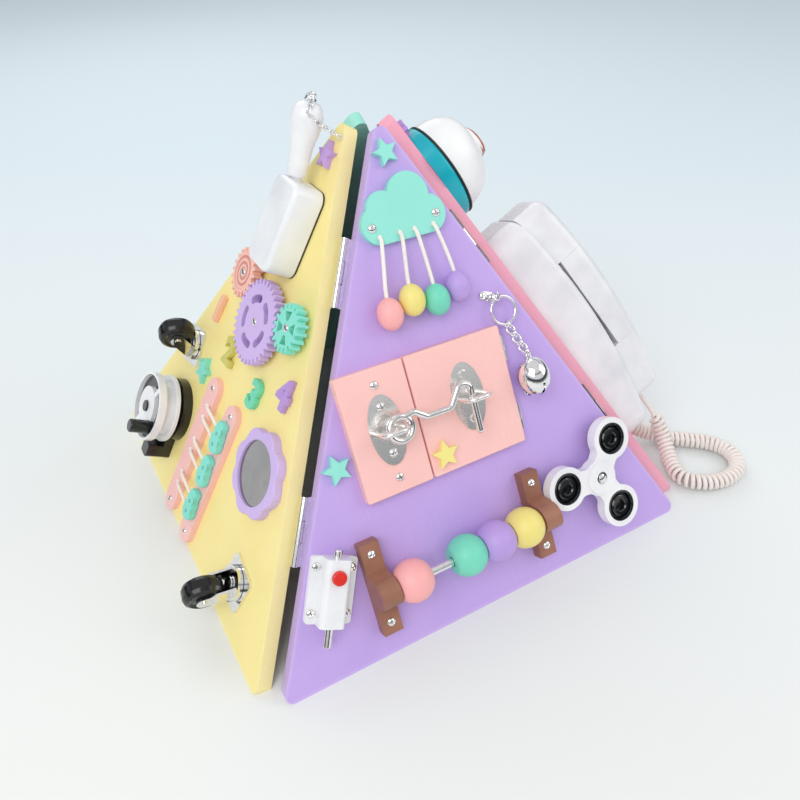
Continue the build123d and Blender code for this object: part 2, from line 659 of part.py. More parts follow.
with BuildPart(PURPLE) as door_fittings:
    hook_plate_with_staple(HOOK_PLATES[1])
    for u, v, seat in hook_plate_screws(HOOK_PLATES[1]):
        screw(PURPLE, u, v, seat, grip=-2)
    for place in DOOR_HINGE_PLACES:
        half = DOOR_HINGE_LENGTH / 2
        leaf_base = DOOR_AXIS_HIGH - DOOR_HINGE_THICK
        slab(PURPLE, DOOR_RIGHT - DOOR_HINGE_LEAF, DOOR_RIGHT, place - half, place + half,
             leaf_base, DOOR_HINGE_THICK)
        middle_half = DOOR_KNUCKLE / 2 - DOOR_HINGE_GAP
        slab(PURPLE, DOOR_RIGHT - 1, DOOR_AXIS, place - middle_half, place + middle_half,
             leaf_base, DOOR_HINGE_THICK)
        door_barrel(place, 2 * middle_half, True)
keep("door_fittings", door_fittings.part)

HOOK_EYE_AT = (HOOK_PLATES[0][0] + HOOK_EYE_PLACE[0], HOOK_PLATES[0][1] + HOOK_EYE_PLACE[1])
with BuildPart(PURPLE) as cabin_hook:
    wire_loop(spot(PURPLE, *HOOK_EYE_AT, HOOK_HEIGHT), PURPLE.z_dir, HOOK_EYE, HOOK_EYE_WIRE)
    with BuildLine(PURPLE.offset(HOOK_HEIGHT)) as hook_line:
        FilletPolyline(*HOOK_ROUTE, radius=HOOK_BEND)
    with BuildSketch(Plane(origin=hook_line.line @ 0, z_dir=hook_line.line % 0)):
        Circle(HOOK_RADIUS)
    sweep(path=hook_line.line)
    with Locations((*HOOK_ROUTE[-1], HOOK_HEIGHT)):
        Sphere(HOOK_RADIUS)
keep("cabin_hook", cabin_hook.part)

# ---------------------------------------------------------------- purple board: bell on a ring
EYE_CENTRE = spot(PURPLE, *BELL_EYE, EYE_HIGH)
RING_CENTRE = spot(PURPLE, *BELL_RING, EYE_HIGH)
BELL_MIDDLE = spot(PURPLE, *BELL_CENTRE, BELL_HIGH)

with BuildPart(PURPLE) as jingle_bell:
    wire_loop(RING_CENTRE, PURPLE.z_dir, BELL_RING_RADIUS, BELL_WIRE)
    with BuildSketch(PURPLE.offset(BELL_HIGH)) as half_shell:
        with Locations(BELL_CENTRE):
            Ellipse(BELL_WIDE, BELL_LONG)
            Ellipse(BELL_WIDE - BELL_WALL, BELL_LONG - BELL_WALL, mode=Mode.SUBTRACT)
        with Locations((BELL_CENTRE[0] - BELL_WIDE, BELL_CENTRE[1])):
            Rectangle(2 * BELL_WIDE, 2 * BELL_LONG + 1, mode=Mode.SUBTRACT)
    revolve(axis=Axis(BELL_MIDDLE, PURPLE.y_dir))
    with Locations((BELL_CENTRE[0], BELL_CENTRE[1] - BELL_LONG * 0.7, BELL_HIGH)):
        Box(BELL_SLOT, BELL_LONG * 0.8, 2 * BELL_WIDE, mode=Mode.SUBTRACT)
        Cylinder(BELL_SLOT, 2 * BELL_WIDE, rotation=(0, 90, 0), mode=Mode.SUBTRACT)
    loop_foot = spot(PURPLE, BELL_CENTRE[0], BELL_CENTRE[1] + BELL_LONG + 0.6, BELL_HIGH)
    wire_loop(loop_foot, PURPLE.z_dir, 1.6, 0.7)
    ring_low = RING_CENTRE - PURPLE.y_dir * BELL_RING_RADIUS
    down = (loop_foot - ring_low).normalized()
    chain_run = (loop_foot - ring_low).length - 1.0 - LINK_RADIUS
    for link in range(CHAIN_LINKS):
        middle = ring_low + down * (1.0 + chain_run * link / (CHAIN_LINKS - 1))
        across = down.cross(PURPLE.x_dir) if link % 2 else PURPLE.x_dir
        wire_loop(middle, across.normalized(), LINK_RADIUS, LINK_WIRE)
keep("jingle_bell", jingle_bell.part)

# ---------------------------------------------------------------- purple board: push catch
with BuildPart(LATCH) as latch_case:
    with BuildSketch(LATCH):
        RectangleRounded(LATCH_WIDE, LATCH_LONG, 2)
    extrude(amount=LATCH_FLANGE_HIGH)
    with BuildSketch(LATCH):
        Rectangle(LATCH_RIDGE_WIDE, LATCH_LONG)
    extrude(amount=LATCH_RIDGE_HIGH)
    ridge_edges = latch_case.edges().filter_by(Axis(LATCH.origin, LATCH.y_dir))
    fillet(ridge_edges.sort_by(outwards_axis(PURPLE))[-2:], 3)
    with Locations((0, 0, LATCH_ROD_HIGH)):
        Cylinder(LATCH_ROD + RUNNING_GAP, 2 * LATCH_LONG, rotation=(90, 0, 0), mode=Mode.SUBTRACT)
    disc(LATCH, (0, LATCH_BUTTON_UP), LATCH_BUTTON + RUNNING_GAP, LATCH_BUTTON_SEAT, LATCH_RIDGE_HIGH,
         mode=Mode.SUBTRACT)
    for side in (-1, 1):
        for end in (-1, 1):
            disc(LATCH, (side * LATCH_SCREWS[0], end * LATCH_SCREWS[1]), SCREW_SHANK, 0,
                 LATCH_FLANGE_HIGH, mode=Mode.SUBTRACT)
keep("latch_case", latch_case.part)

with BuildPart(LATCH) as latch_rod:
    low, high = LATCH_ROD_SPAN
    with Locations((0, (low + high) / 2, LATCH_ROD_HIGH)):
        Cylinder(LATCH_ROD, high - low, rotation=(90, 0, 0))
    fillet(latch_rod.edges().filter_by(GeomType.CIRCLE), 0.8)
keep("latch_rod", latch_rod.part)

with BuildPart(LATCH) as latch_button:
    base = LATCH_BUTTON_SEAT + LATCH_BUTTON_TRAVEL
    disc(LATCH, (0, LATCH_BUTTON_UP), LATCH_BUTTON, base, LATCH_RIDGE_HIGH + LATCH_BUTTON_PROUD - base)
    soften(latch_button, LATCH)
keep("latch_button", latch_button.part)

# ---------------------------------------------------------------- purple board: bead rail
with BuildPart(PURPLE) as rail_brackets:
    for bracket in RAIL_BRACKETS:
        side_view = across_plane(PURPLE, bracket - RAIL_BRACKET_WIDE / 2, RAIL_LINE)
        with BuildSketch(side_view) as profile:
            with Locations((0, RAIL_BRACKET_END / 2)):
                Rectangle(RAIL_BRACKET_LONG, RAIL_BRACKET_END)
            with Locations((0, RAIL_HEIGHT)):
                Circle(RAIL_HUMP)
            Polygon((-RAIL_HUMP * 1.5, 0), (RAIL_HUMP * 1.5, 0), (RAIL_HUMP * 0.87, RAIL_HEIGHT + 4.2),
                    (-RAIL_HUMP * 0.87, RAIL_HEIGHT + 4.2), align=None)
        extrude(profile.sketch, amount=RAIL_BRACKET_WIDE)
    reach = RAIL_BRACKETS[1] - RAIL_BRACKETS[0] + RAIL_ROD_GRIP
    with Locations(((RAIL_BRACKETS[0] + RAIL_BRACKETS[1]) / 2, RAIL_LINE, RAIL_HEIGHT)):
        Cylinder(RAIL_ROD, reach, rotation=(0, 90, 0), mode=Mode.SUBTRACT)
    for bracket in RAIL_BRACKETS:
        for step in (-RAIL_SCREW_UP, RAIL_SCREW_UP):
            disc(PURPLE, (bracket, RAIL_LINE + step), SCREW_SHANK, 0, RAIL_BRACKET_END, mode=Mode.SUBTRACT)
keep("rail_brackets", rail_brackets.part)

with BuildPart(PURPLE) as rail_rod:
    with Locations(((RAIL_BRACKETS[0] + RAIL_BRACKETS[1]) / 2, RAIL_LINE, RAIL_HEIGHT)):
        Cylinder(RAIL_ROD, reach, rotation=(0, 90, 0))
keep("rail_rod", rail_rod.part)

for colour, u in RAIL_BEADS.items():
    with BuildPart(PURPLE) as rail_bead:
        with BuildSketch(turned(PURPLE, (u, RAIL_LINE), 0, RAIL_HEIGHT)) as half_bead:
            Circle(RAIL_BEAD_RADIUS)
            Rectangle(RAIL_BEAD_LONG, 2 * RAIL_BEAD_RADIUS, mode=Mode.INTERSECT)
            with Locations((0, RAIL_BEAD_BORE - RAIL_BEAD_RADIUS)):
                Rectangle(2 * RAIL_BEAD_LONG, 2 * RAIL_BEAD_RADIUS, mode=Mode.SUBTRACT)
        revolve(axis=Axis(spot(PURPLE, u, RAIL_LINE, RAIL_HEIGHT), PURPLE.x_dir))
    keep("rail_bead_" + colour, rail_bead.part)

# ---------------------------------------------------------------- purple board: spinner
SPINNER = turned(PURPLE, SPINNER_CENTRE, SPINNER_TURN)
SPINNER_TOP = SPINNER_BASE + SPINNER_THICK

with BuildPart(SPINNER) as spinner_body:
    with BuildSketch(SPINNER.offset(SPINNER_BASE)) as outline:
        Circle(SPINNER_HUB)
        with PolarLocations(SPINNER_ARM, 3):
            Circle(SPINNER_LOBE)
        with PolarLocations(SPINNER_ARM / 2, 3):
            Rectangle(SPINNER_ARM, SPINNER_HUB * 1.35)
        fillet(outline.vertices(), SPINNER_BLEND)
        with PolarLocations(SPINNER_ARM, 3):
            Circle(SPINNER_WEIGHT, mode=Mode.SUBTRACT)
    extrude(amount=SPINNER_THICK)
    with BuildSketch(SPINNER.offset(SPINNER_TOP)):
        Circle(SPINNER_CAP)
    extrude(amount=SPINNER_CAP_HIGH)
    disc(SPINNER, (0, 0), SPINNER_PIN + RUNNING_GAP, 0, 2 * SPINNER_TOP, mode=Mode.SUBTRACT)
keep("spinner_body", spinner_body.part)

with BuildPart(SPINNER) as spinner_weights:
    with BuildSketch(SPINNER.offset(SPINNER_BASE)):
        with PolarLocations(SPINNER_ARM, 3):
            Circle(SPINNER_WEIGHT)
            Circle(SPINNER_WEIGHT_BORE, mode=Mode.SUBTRACT)
    extrude(amount=SPINNER_THICK)
keep("spinner_weights", spinner_weights.part)

# ---------------------------------------------------------------- purple board: screws and pivots
with BuildPart(PURPLE) as purple_screws:
    for u, v, seat in PURPLE_SCREWS:
        screw(PURPLE, u, v, seat)
    disc(PURPLE, SPINNER_CENTRE, SCREW_SHANK, -SCREW_GRIP, SCREW_GRIP)
    disc(PURPLE, SPINNER_CENTRE, 1.6 * SPINNER_PIN, 0, SPINNER_BASE - FREE_GAP)
    pin_top = SPINNER_TOP + SPINNER_CAP_HIGH + FREE_GAP
    disc(PURPLE, SPINNER_CENTRE, SPINNER_PIN, 0, pin_top)
    disc(PURPLE, SPINNER_CENTRE, SPINNER_PIN + 1.2, pin_top, 1.6, taper=20)
    strap = turned(PURPLE, EYE_SCREW, -degrees(atan2(EYE_SCREW[1] - BELL_EYE[1], BELL_EYE[0] - EYE_SCREW[0])))
    slab(strap, 0, hypot(EYE_SCREW[1] - BELL_EYE[1], BELL_EYE[0] - EYE_SCREW[0]), -2, 2, 0, BELL_STRAP)
    disc(PURPLE, EYE_SCREW, 3.4, 0, BELL_STRAP)
    disc(PURPLE, BELL_EYE, 2, 0, BELL_STRAP)
    ring_way = EYE_CENTRE - RING_CENTRE
    wire_loop(EYE_CENTRE, ring_way.cross(PURPLE.z_dir).normalized(), EYE_RADIUS, EYE_WIRE)
keep("purple_screws", purple_screws.part)

# ---------------------------------------------------------------- yellow board: stars and socket box
with BuildPart(YELLOW) as yellow_cutouts:
    for u, v, outer, turn in YELLOW_STARS:
        star_solid(YELLOW, u, v, outer, turn, 0, CUTOUT_THICK)
keep("yellow_cutouts", yellow_cutouts.part)

BOX_TOP = BOX_CENTRE[1] + BOX_LONG / 2
PLUG_UP = YELLOW.y_dir * cos(radians(PLUG_TILT)) + YELLOW.z_dir * sin(radians(PLUG_TILT))
PLUG = Plane(origin=spot(YELLOW, PLUG_MOUTH[0], BOX_TOP, PLUG_MOUTH[1]), x_dir=YELLOW.x_dir, z_dir=PLUG_UP)

with BuildPart(YELLOW) as socket_box:
    with BuildSketch(YELLOW):
        with Locations(BOX_CENTRE):
            RectangleRounded(BOX_WIDE - 1.6, BOX_LONG - 1.6, BOX_CORNER - 0.8)
    extrude(amount=BOX_FOOT)
    with BuildSketch(YELLOW.offset(BOX_FOOT)):
        with Locations(BOX_CENTRE):
            RectangleRounded(BOX_WIDE, BOX_LONG, BOX_CORNER)
    extrude(amount=BOX_HIGH - BOX_FOOT)
    soften(socket_box, YELLOW, BOX_EDGE)
    disc(PLUG, (0, 0), PLUG_PIN + RUNNING_GAP, -PLUG_PIN_LONG - 2, PLUG_PIN_LONG + 6, mode=Mode.SUBTRACT)
keep("socket_box", socket_box.part)

with BuildPart(PLUG) as plug:
    side_view = Plane(origin=PLUG.origin, x_dir=PLUG.x_dir, z_dir=-PLUG.y_dir)
    with BuildSketch(side_view) as profile:
        with BuildLine():
            waist = Spline((PLUG_NECK, 3.0), (PLUG_BODY, 15.0), (PLUG_WAIST, 25.0), (PLUG_BODY, 35.0),
                           (4.0, 41.5))
            Polyline(waist @ 1, (0, 41.5), (0, -PLUG_PIN_LONG), (PLUG_PIN, -PLUG_PIN_LONG), (PLUG_PIN, 1.8),
                     (PLUG_NECK, 1.8), waist @ 0)
        make_face()
    revolve(axis=Axis(PLUG.origin, PLUG.z_dir))
    wire_loop(spot(PLUG, 0, 0, PLUG_LOOP_UP), PLUG.x_dir, PLUG_LOOP, PLUG_LOOP_WIRE)
keep("plug", plug.part)

# ---------------------------------------------------------------- yellow board: gear train
PRESSURE = radians(20)


def involute(angle):
    return tan(angle) - angle


def gear_outline(teeth, phase):
    """Points of an involute gear, one tooth centred on the phase angle."""
    pitch = GEAR_MODULE * teeth / 2
    base = pitch * cos(PRESSURE)
    tip = pitch + 0.9 * GEAR_MODULE
    root = pitch - 1.2 * GEAR_MODULE
    half = pi / (2 * teeth) - GEAR_PLAY / pitch
    flank = []
    for reach in (max(base, root + 0.1), (base + pitch) / 2, pitch, (pitch + tip) / 2, tip):
        roll = involute(acos(min(1.0, base / reach)))
        flank.append((reach, half + involute(PRESSURE) - roll))
    points = []
    for tooth in range(teeth):
        middle = radians(phase) + tooth * 2 * pi / teeth
        corners = [(root, -flank[0][1])] + [(reach, -angle) for reach, angle in flank]
        corners += [(reach, angle) for reach, angle in reversed(flank)] + [(root, flank[0][1])]
        points += [(reach * cos(middle + angle), reach * sin(middle + angle)) for reach, angle in corners]
    return points


def mating_phase(teeth, bearing):
    """Phase that sets a gap of the second gear against a tooth of the big one."""
    offset = bearing / (360 / GEAR_BIG_TEETH)
    return bearing + 180 - (0.5 - offset) * 360 / teeth


def gear_blank(place, teeth, phase):
    """Toothed wheel with its bore."""
    wheel = turned(YELLOW, place, 0, GEAR_BASE)
    with BuildSketch(wheel) as profile:
        Polygon(*gear_outline(teeth, phase), align=None)
        Circle(GEAR_BORE, mode=Mode.SUBTRACT)
    extrude(profile.sketch, amount=GEAR_THICK)
    return wheel


bean_line = CenterArc((0, 0), GEAR_SLOT_REACH, 0, GEAR_SLOT_SWEEP)
with BuildPart(YELLOW) as gear_purple:
    wheel = gear_blank(GEAR_BIG, GEAR_BIG_TEETH, 0)
    for slot in range(5):
        with BuildSketch(turned(wheel, (0, 0), 72 * slot + 30)) as bean:
            SlotArc(bean_line, GEAR_SLOT_WIDE)
        extrude(bean.sketch, amount=GEAR_THICK, mode=Mode.SUBTRACT)
keep("gear_purple", gear_purple.part)

with BuildPart(YELLOW) as gear_pink:
    gear_blank(GEAR_PINK, GEAR_PINK_TEETH, mating_phase(GEAR_PINK_TEETH, GEAR_PINK_BEARING))
keep("gear_pink", gear_pink.part)

with BuildPart(YELLOW) as gear_mint:
    wheel = gear_blank(GEAR_MINT, GEAR_MINT_TEETH, mating_phase(GEAR_MINT_TEETH, GEAR_MINT_BEARING))
    for window in range(4):
        with BuildSketch(turned(wheel, (0, 0), 90 * window + 20)) as wedge:
            Polygon((4.2, -1.2), (9.6, -3.6), (9.6, 3.6), (4.2, 1.2), align=None)
        extrude(wedge.sketch, amount=GEAR_THICK, mode=Mode.SUBTRACT)
keep("gear_mint", gear_mint.part)

# ---------------------------------------------------------------- yellow board: casters
with BuildPart(YELLOW) as caster_plates:
    for u, v, turn, trail_way in CASTER_PLACES.values():
        square = turned(YELLOW, (u, v), turn)
        half = CASTER_PLATE / 2
        pin_top = CASTER_DISC_TOP + FREE_GAP
        slab(square, -half, half, -half, half, 0, CASTER_PLATE_THICK, corner=3)
        disc(square, (0, 0), CASTER_KINGPIN, CASTER_PLATE_THICK, pin_top - CASTER_PLATE_THICK)
        disc(square, (0, 0), 1.45 * CASTER_KINGPIN, pin_top, 1.0)
keep("caster_plates", caster_plates.part)


def caster_fork(place):
    """Swivel disc with two cheeks and the axle between them."""
    u, v, turn, trail_way = place
    swivel = turned(YELLOW, (u, v), trail_way)
    base = CASTER_PLATE_THICK + FREE_GAP
    disc(swivel, (0, 0), CASTER_SWIVEL, base, CASTER_DISC_TOP - base)
    inner = CASTER_WHEEL_WIDE / 2 + FREE_GAP
    for side in (-1, 1):
        cheek = Plane(origin=spot(swivel, 0, side * (inner + CASTER_CHEEK / 2), 0),
                      x_dir=swivel.x_dir, z_dir=-swivel.y_dir)
        with BuildSketch(cheek) as profile:
            with Locations((CASTER_TRAIL, CASTER_AXLE_HIGH)):
                Circle(5)
            Polygon((-6.5, CASTER_DISC_TOP - 1), (6.5, CASTER_DISC_TOP - 1),
                    (CASTER_TRAIL + 4.6, CASTER_AXLE_HIGH - 2), (CASTER_TRAIL - 3.5, CASTER_AXLE_HIGH + 3.5),
                    align=None)
        extrude(profile.sketch, amount=CASTER_CHEEK / 2, both=True)
    reach = inner + CASTER_CHEEK + 0.8
    rod_between(spot(swivel, CASTER_TRAIL, -reach, CASTER_AXLE_HIGH),
                spot(swivel, CASTER_TRAIL, reach, CASTER_AXLE_HIGH), CASTER_AXLE)
    disc(swivel, (0, 0), CASTER_KINGPIN + RUNNING_GAP, base, CASTER_DISC_TOP, mode=Mode.SUBTRACT)


def caster_wheel(place):
    """Tyre and hub, turned in one profile round the axle."""
    u, v, turn, trail_way = place
    swivel = turned(YELLOW, (u, v), trail_way)
    centre = spot(swivel, CASTER_TRAIL, 0, CASTER_AXLE_HIGH)
    half = CASTER_WHEEL_WIDE / 2
    with BuildSketch(Plane(origin=centre, x_dir=swivel.x_dir, z_dir=swivel.z_dir)) as profile:
        Polygon((CASTER_AXLE + RUNNING_GAP, -half), (CASTER_HUB, -half + 1), (CASTER_WHEEL - 3, -half),
                (CASTER_WHEEL - 1, -half + 1.2), (CASTER_WHEEL, -half + 3.4), (CASTER_WHEEL, half - 3.4),
                (CASTER_WHEEL - 1, half - 1.2), (CASTER_WHEEL - 3, half), (CASTER_HUB, half - 1),
                (CASTER_AXLE + RUNNING_GAP, half), align=None)
    revolve(profile.sketch, axis=Axis(centre, swivel.y_dir))


for name, place in CASTER_PLACES.items():
    with BuildPart(YELLOW) as fork:
        caster_fork(place)
    keep("caster_fork_" + name, fork.part)
    with BuildPart(YELLOW) as wheel:
        caster_wheel(place)
    keep("caster_wheel_" + name, wheel.part)

# ---------------------------------------------------------------- yellow board: winding reel
REEL = turned(YELLOW, REEL_CENTRE, 0)

with BuildPart(REEL) as reel_frame:
    disc(REEL, (0, 0), REEL_RADIUS - 2, 0, REEL_FRAME_HIGH)
    slab(REEL, 0, REEL_BLOCK_WIDE, -REEL_RADIUS - REEL_BLOCK_LONG, -REEL_RADIUS + 6,
         0, REEL_FRAME_HIGH, corner=2)
    slab(REEL, 0, REEL_BLOCK_WIDE, -REEL_RADIUS - REEL_BLOCK_LONG, -REEL_RADIUS - 1.5, REEL_FRAME_HIGH,
         REEL_BLOCK_HIGH - REEL_FRAME_HIGH, corner=2)
    disc(REEL, (0, 0), REEL_SPINDLE, REEL_FRAME_HIGH, REEL_SPOOL_TOP - REEL_FRAME_HIGH + FREE_GAP)
    disc(REEL, (0, 0), REEL_SPINDLE + 1.2, REEL_SPOOL_TOP + FREE_GAP, 1.0, taper=20)
keep("reel_frame", reel_frame.part)

with BuildPart(REEL) as reel_spool:
    spool_base = REEL_FRAME_HIGH + FREE_GAP
    drum_base = spool_base + 2.5
    disc(REEL, (0, 0), REEL_SPINDLE + 5, spool_base, 2.5)
    disc(REEL, (0, 0), REEL_RADIUS - 0.5, drum_base, REEL_RIM)
    disc(REEL, (0, 0), REEL_RADIUS - 5, drum_base + REEL_RIM,
         REEL_SPOOL_TOP - REEL_DISH - drum_base - REEL_RIM)
    disc(REEL, (0, 0), REEL_RADIUS, REEL_SPOOL_TOP - REEL_DISH - REEL_RIM, REEL_DISH + REEL_RIM)
    disc(REEL, (0, 0), REEL_RADIUS - REEL_RIM, REEL_SPOOL_TOP - REEL_DISH, REEL_DISH, mode=Mode.SUBTRACT)
    disc(REEL, (0, 0), REEL_HUB, REEL_SPOOL_TOP - REEL_DISH, REEL_DISH)
    arm = turned(REEL, (0, 0), REEL_SPOKE_TURN)
    slab(arm, 2 - REEL_RADIUS, REEL_RADIUS - 2, -1.8, 1.8, REEL_SPOOL_TOP - REEL_DISH, REEL_DISH - 0.4)
    disc(REEL, REEL_KNOB, REEL_KNOB_RADIUS, REEL_SPOOL_TOP - REEL_DISH,
         REEL_KNOB_TOP - REEL_SPOOL_TOP + REEL_DISH)
    fillet(reel_spool.faces().sort_by(outwards_axis(YELLOW))[-1].outer_wire().edges(), 1.2)
    disc(REEL, (0, 0), REEL_SPINDLE + RUNNING_GAP, 0, REEL_SPOOL_TOP + 1, mode=Mode.SUBTRACT)
keep("reel_spool", reel_spool.part)

# ---------------------------------------------------------------- yellow board: toggles on two bars
with BuildPart(YELLOW) as toggle_bars:
    for bar in TOGGLE_BARS:
        slab(YELLOW, bar - TOGGLE_BAR_WIDE / 2, bar + TOGGLE_BAR_WIDE / 2, *TOGGLE_BAR_SPAN, 0, TOGGLE_BAR_THICK,
             corner=TOGGLE_BAR_WIDE / 2 - 0.01)
    screw_holes(YELLOW, YELLOW_SCREWS, 0, TOGGLE_BAR_THICK)
    for place in TOGGLE_PLACES:
        for end in (-1, 1):
            for bar in TOGGLE_BARS:
                disc(YELLOW, (bar + 3, place + end * TOGGLE_CORD_PITCH / 2), CORD_RADIUS + 0.3, 0,
                     TOGGLE_BAR_THICK, mode=Mode.SUBTRACT)
keep("toggle_bars", toggle_bars.part)

TOGGLE_BASE = TOGGLE_BAR_THICK + FREE_GAP
TOGGLE_EDGES = {-1: -6.75, 1: -4.9}          # left side of a toggle at its lower and upper cord

for number, place in enumerate(TOGGLE_PLACES):
    with BuildPart(YELLOW) as toggle:
        with BuildSketch(YELLOW.offset(TOGGLE_BASE)) as outline:
            with Locations((TOGGLE_ACROSS, place - 5)):
                Circle(6.5)
            with Locations((TOGGLE_ACROSS, place + 7.5)):
                Circle(4)
            make_hull()
            for end in (-1, 1):
                with Locations((TOGGLE_ACROSS, place + end * TOGGLE_CORD_PITCH / 2)):
                    Circle(TOGGLE_HOLE, mode=Mode.SUBTRACT)
        extrude(amount=TOGGLE_THICK)
        soften(toggle, YELLOW, 1.5)
    keep("toggle_" + ("top", "middle", "bottom")[number], toggle.part)

with BuildPart(YELLOW) as yellow_cords:
    for place in TOGGLE_PLACES:
        for end in (-1, 1):
            v = place + end * TOGGLE_CORD_PITCH / 2
            hole = TOGGLE_BARS[0] + 3
            with Locations((hole, v, TOGGLE_BAR_THICK + CORD_KNOT - 0.5)):
                Sphere(CORD_KNOT - 0.5)
            rod_between(spot(YELLOW, hole, v, TOGGLE_BAR_THICK + CORD_RADIUS),
                        spot(YELLOW, TOGGLE_ACROSS + TOGGLE_EDGES[end], v, TOGGLE_BASE + 2.5), CORD_RADIUS)
    with BuildLine() as chain_line:
        FilletPolyline(spot(PLUG, 0, 0, PLUG_LOOP_UP + 1), spot(PLUG, *CHAIN_BEND),
                       spot(YELLOW, *CHAIN_ANCHOR, CHAIN_RADIUS), radius=2)
    with BuildSketch(Plane(origin=chain_line.line @ 0, z_dir=chain_line.line % 0)):
        Circle(CHAIN_RADIUS)
    sweep(path=chain_line.line)
keep("yellow_cords", yellow_cords.part)

# ---------------------------------------------------------------- yellow board: screws and gear pivots
with BuildPart(YELLOW) as yellow_screws:
    for u, v, seat in YELLOW_SCREWS:
        screw(YELLOW, u, v, seat)
    for u, v, seat in GEAR_PIVOTS:
        disc(YELLOW, (u, v), SCREW_SHANK, -SCREW_GRIP, SCREW_GRIP)
        disc(YELLOW, (u, v), 2 * GEAR_BORE, 0, GEAR_BASE - FREE_GAP)
        pivot_top = GEAR_BASE + GEAR_THICK + FREE_GAP
        disc(YELLOW, (u, v), GEAR_BORE - RUNNING_GAP, 0, pivot_top)
        disc(YELLOW, (u, v), 1.7 * GEAR_BORE, pivot_top, 1.5, taper=20)
keep("yellow_screws", yellow_screws.part)

# ---------------------------------------------------------------- yellow board: mirror
MIRROR = turned(YELLOW, MIRROR_CENTRE, 0)

with BuildPart(MIRROR) as mirror_frame:
    with BuildSketch(MIRROR) as flower:
        Circle(MIRROR_FRAME - MIRROR_LOBE_DEEP)
        with PolarLocations(MIRROR_FRAME - MIRROR_LOBE, MIRROR_LOBES):
            Circle(MIRROR_LOBE)
    extrude(amount=MIRROR_FRAME_THICK)
    soften(mirror_frame, MIRROR, 1.2)
    disc(MIRROR, (0, 0), MIRROR_RADIUS, MIRROR_SEAT, MIRROR_FRAME_THICK, mode=Mode.SUBTRACT)
keep("mirror_frame", mirror_frame.part)

with BuildPart(MIRROR) as mirror_glass:
    disc(MIRROR, (0, 0), MIRROR_RADIUS, MIRROR_SEAT, MIRROR_GLASS_THICK)
keep("mirror_glass", mirror_glass.part)

# ---------------------------------------------------------------- pink board: push lamp
LAMP = turned(PINK, LAMP_CENTRE, 0)

with BuildPart(LAMP) as lamp_base:
    with BuildSketch(LAMP):
        Ellipse(LAMP_WIDE, LAMP_LONG)
    extrude(amount=LAMP_BASE_HIGH)
    soften(lamp_base, LAMP, 3)
keep("lamp_base", lamp_base.part)

with BuildPart(LAMP) as lamp_dome:
    for height, share in LAMP_DOME_STEPS:
        with BuildSketch(LAMP.offset(LAMP_BASE_HIGH + height * (LAMP_DOME_HIGH - LAMP_BASE_HIGH))):
            Ellipse((LAMP_WIDE - LAMP_STEP) * share,
                    (LAMP_LONG - LAMP_STEP) * (share + (1 - share) * LAMP_ROUNDING))
    loft()
    with BuildSketch(LAMP.offset(LAMP_DOME_HIGH - 1)):
        Circle(LAMP_BEZEL)
    extrude(amount=LAMP_BEZEL_HIGH + 1)
    soften(lamp_dome, LAMP, 1.2)
    disc(LAMP, (0, 0), LAMP_BUTTON + RUNNING_GAP, LAMP_DOME_HIGH - 6, 20, mode=Mode.SUBTRACT)
keep("lamp_dome", lamp_dome.part)

with BuildPart(LAMP) as lamp_button:
    base = LAMP_DOME_HIGH - 6 + LAMP_BUTTON_TRAVEL + FREE_GAP
    disc(LAMP, (0, 0), LAMP_BUTTON, base, LAMP_DOME_HIGH + LAMP_BEZEL_HIGH + LAMP_BUTTON_PROUD - base)
    soften(lamp_button, LAMP, 2)
keep("lamp_button", lamp_button.part)

# ---------------------------------------------------------------- pink board: telephone
PHONE = turned(PINK, PHONE_CENTRE, PHONE_TURN)
PHONE_SIDE = across_plane(PHONE, 0, 0)
HANDSET_SIDE = across_plane(PHONE, 0, HANDSET_SHIFT)
PHONE_HALF = PHONE_LONG / 2
HANDSET_HALF = HANDSET_LONG / 2
PHONE_NORMAL = Axis(PHONE.origin, PHONE.z_dir)

with BuildPart(PHONE) as phone_base:
    with BuildSketch(PHONE_SIDE):
        with BuildLine():
            arch = ThreePointArc((-PHONE_HALF, PHONE_ARCH[0]), (PHONE_CROWN, PHONE_ARCH[1]),
                                 (PHONE_HALF, PHONE_ARCH[2]))
            Polyline(arch @ 1, (PHONE_HALF, 0), (-PHONE_HALF, 0), arch @ 0)
        make_face()
    extrude(amount=PHONE_WIDE / 2, both=True)
    fillet(phone_base.edges().filter_by(PHONE_NORMAL), PHONE_CORNER)
    arch_face = phone_base.faces().filter_by(GeomType.CYLINDER).sort_by(SortBy.AREA)[-1]
    fillet(arch_face.outer_wire().edges(), PHONE_EDGE)
    with BuildSketch(PHONE) as foot_line:
        RectangleRounded(PHONE_WIDE + 2, PHONE_LONG + 2, PHONE_CORNER + 1)
        RectangleRounded(PHONE_WIDE - 3, PHONE_LONG - 3, PHONE_CORNER - 1.5, mode=Mode.SUBTRACT)
    extrude(foot_line.sketch, amount=PHONE_FOOT, mode=Mode.SUBTRACT)
    across = KEYPAD_WIDE / 2 + FREE_GAP
    along = KEYPAD_LONG / 2 + FREE_GAP
    slab(PHONE, -across, across, KEYPAD_SHIFT - along, KEYPAD_SHIFT + along,
         KEYPAD_SEAT, PHONE_ARCH[1], mode=Mode.SUBTRACT)
keep("phone_base", phone_base.part)

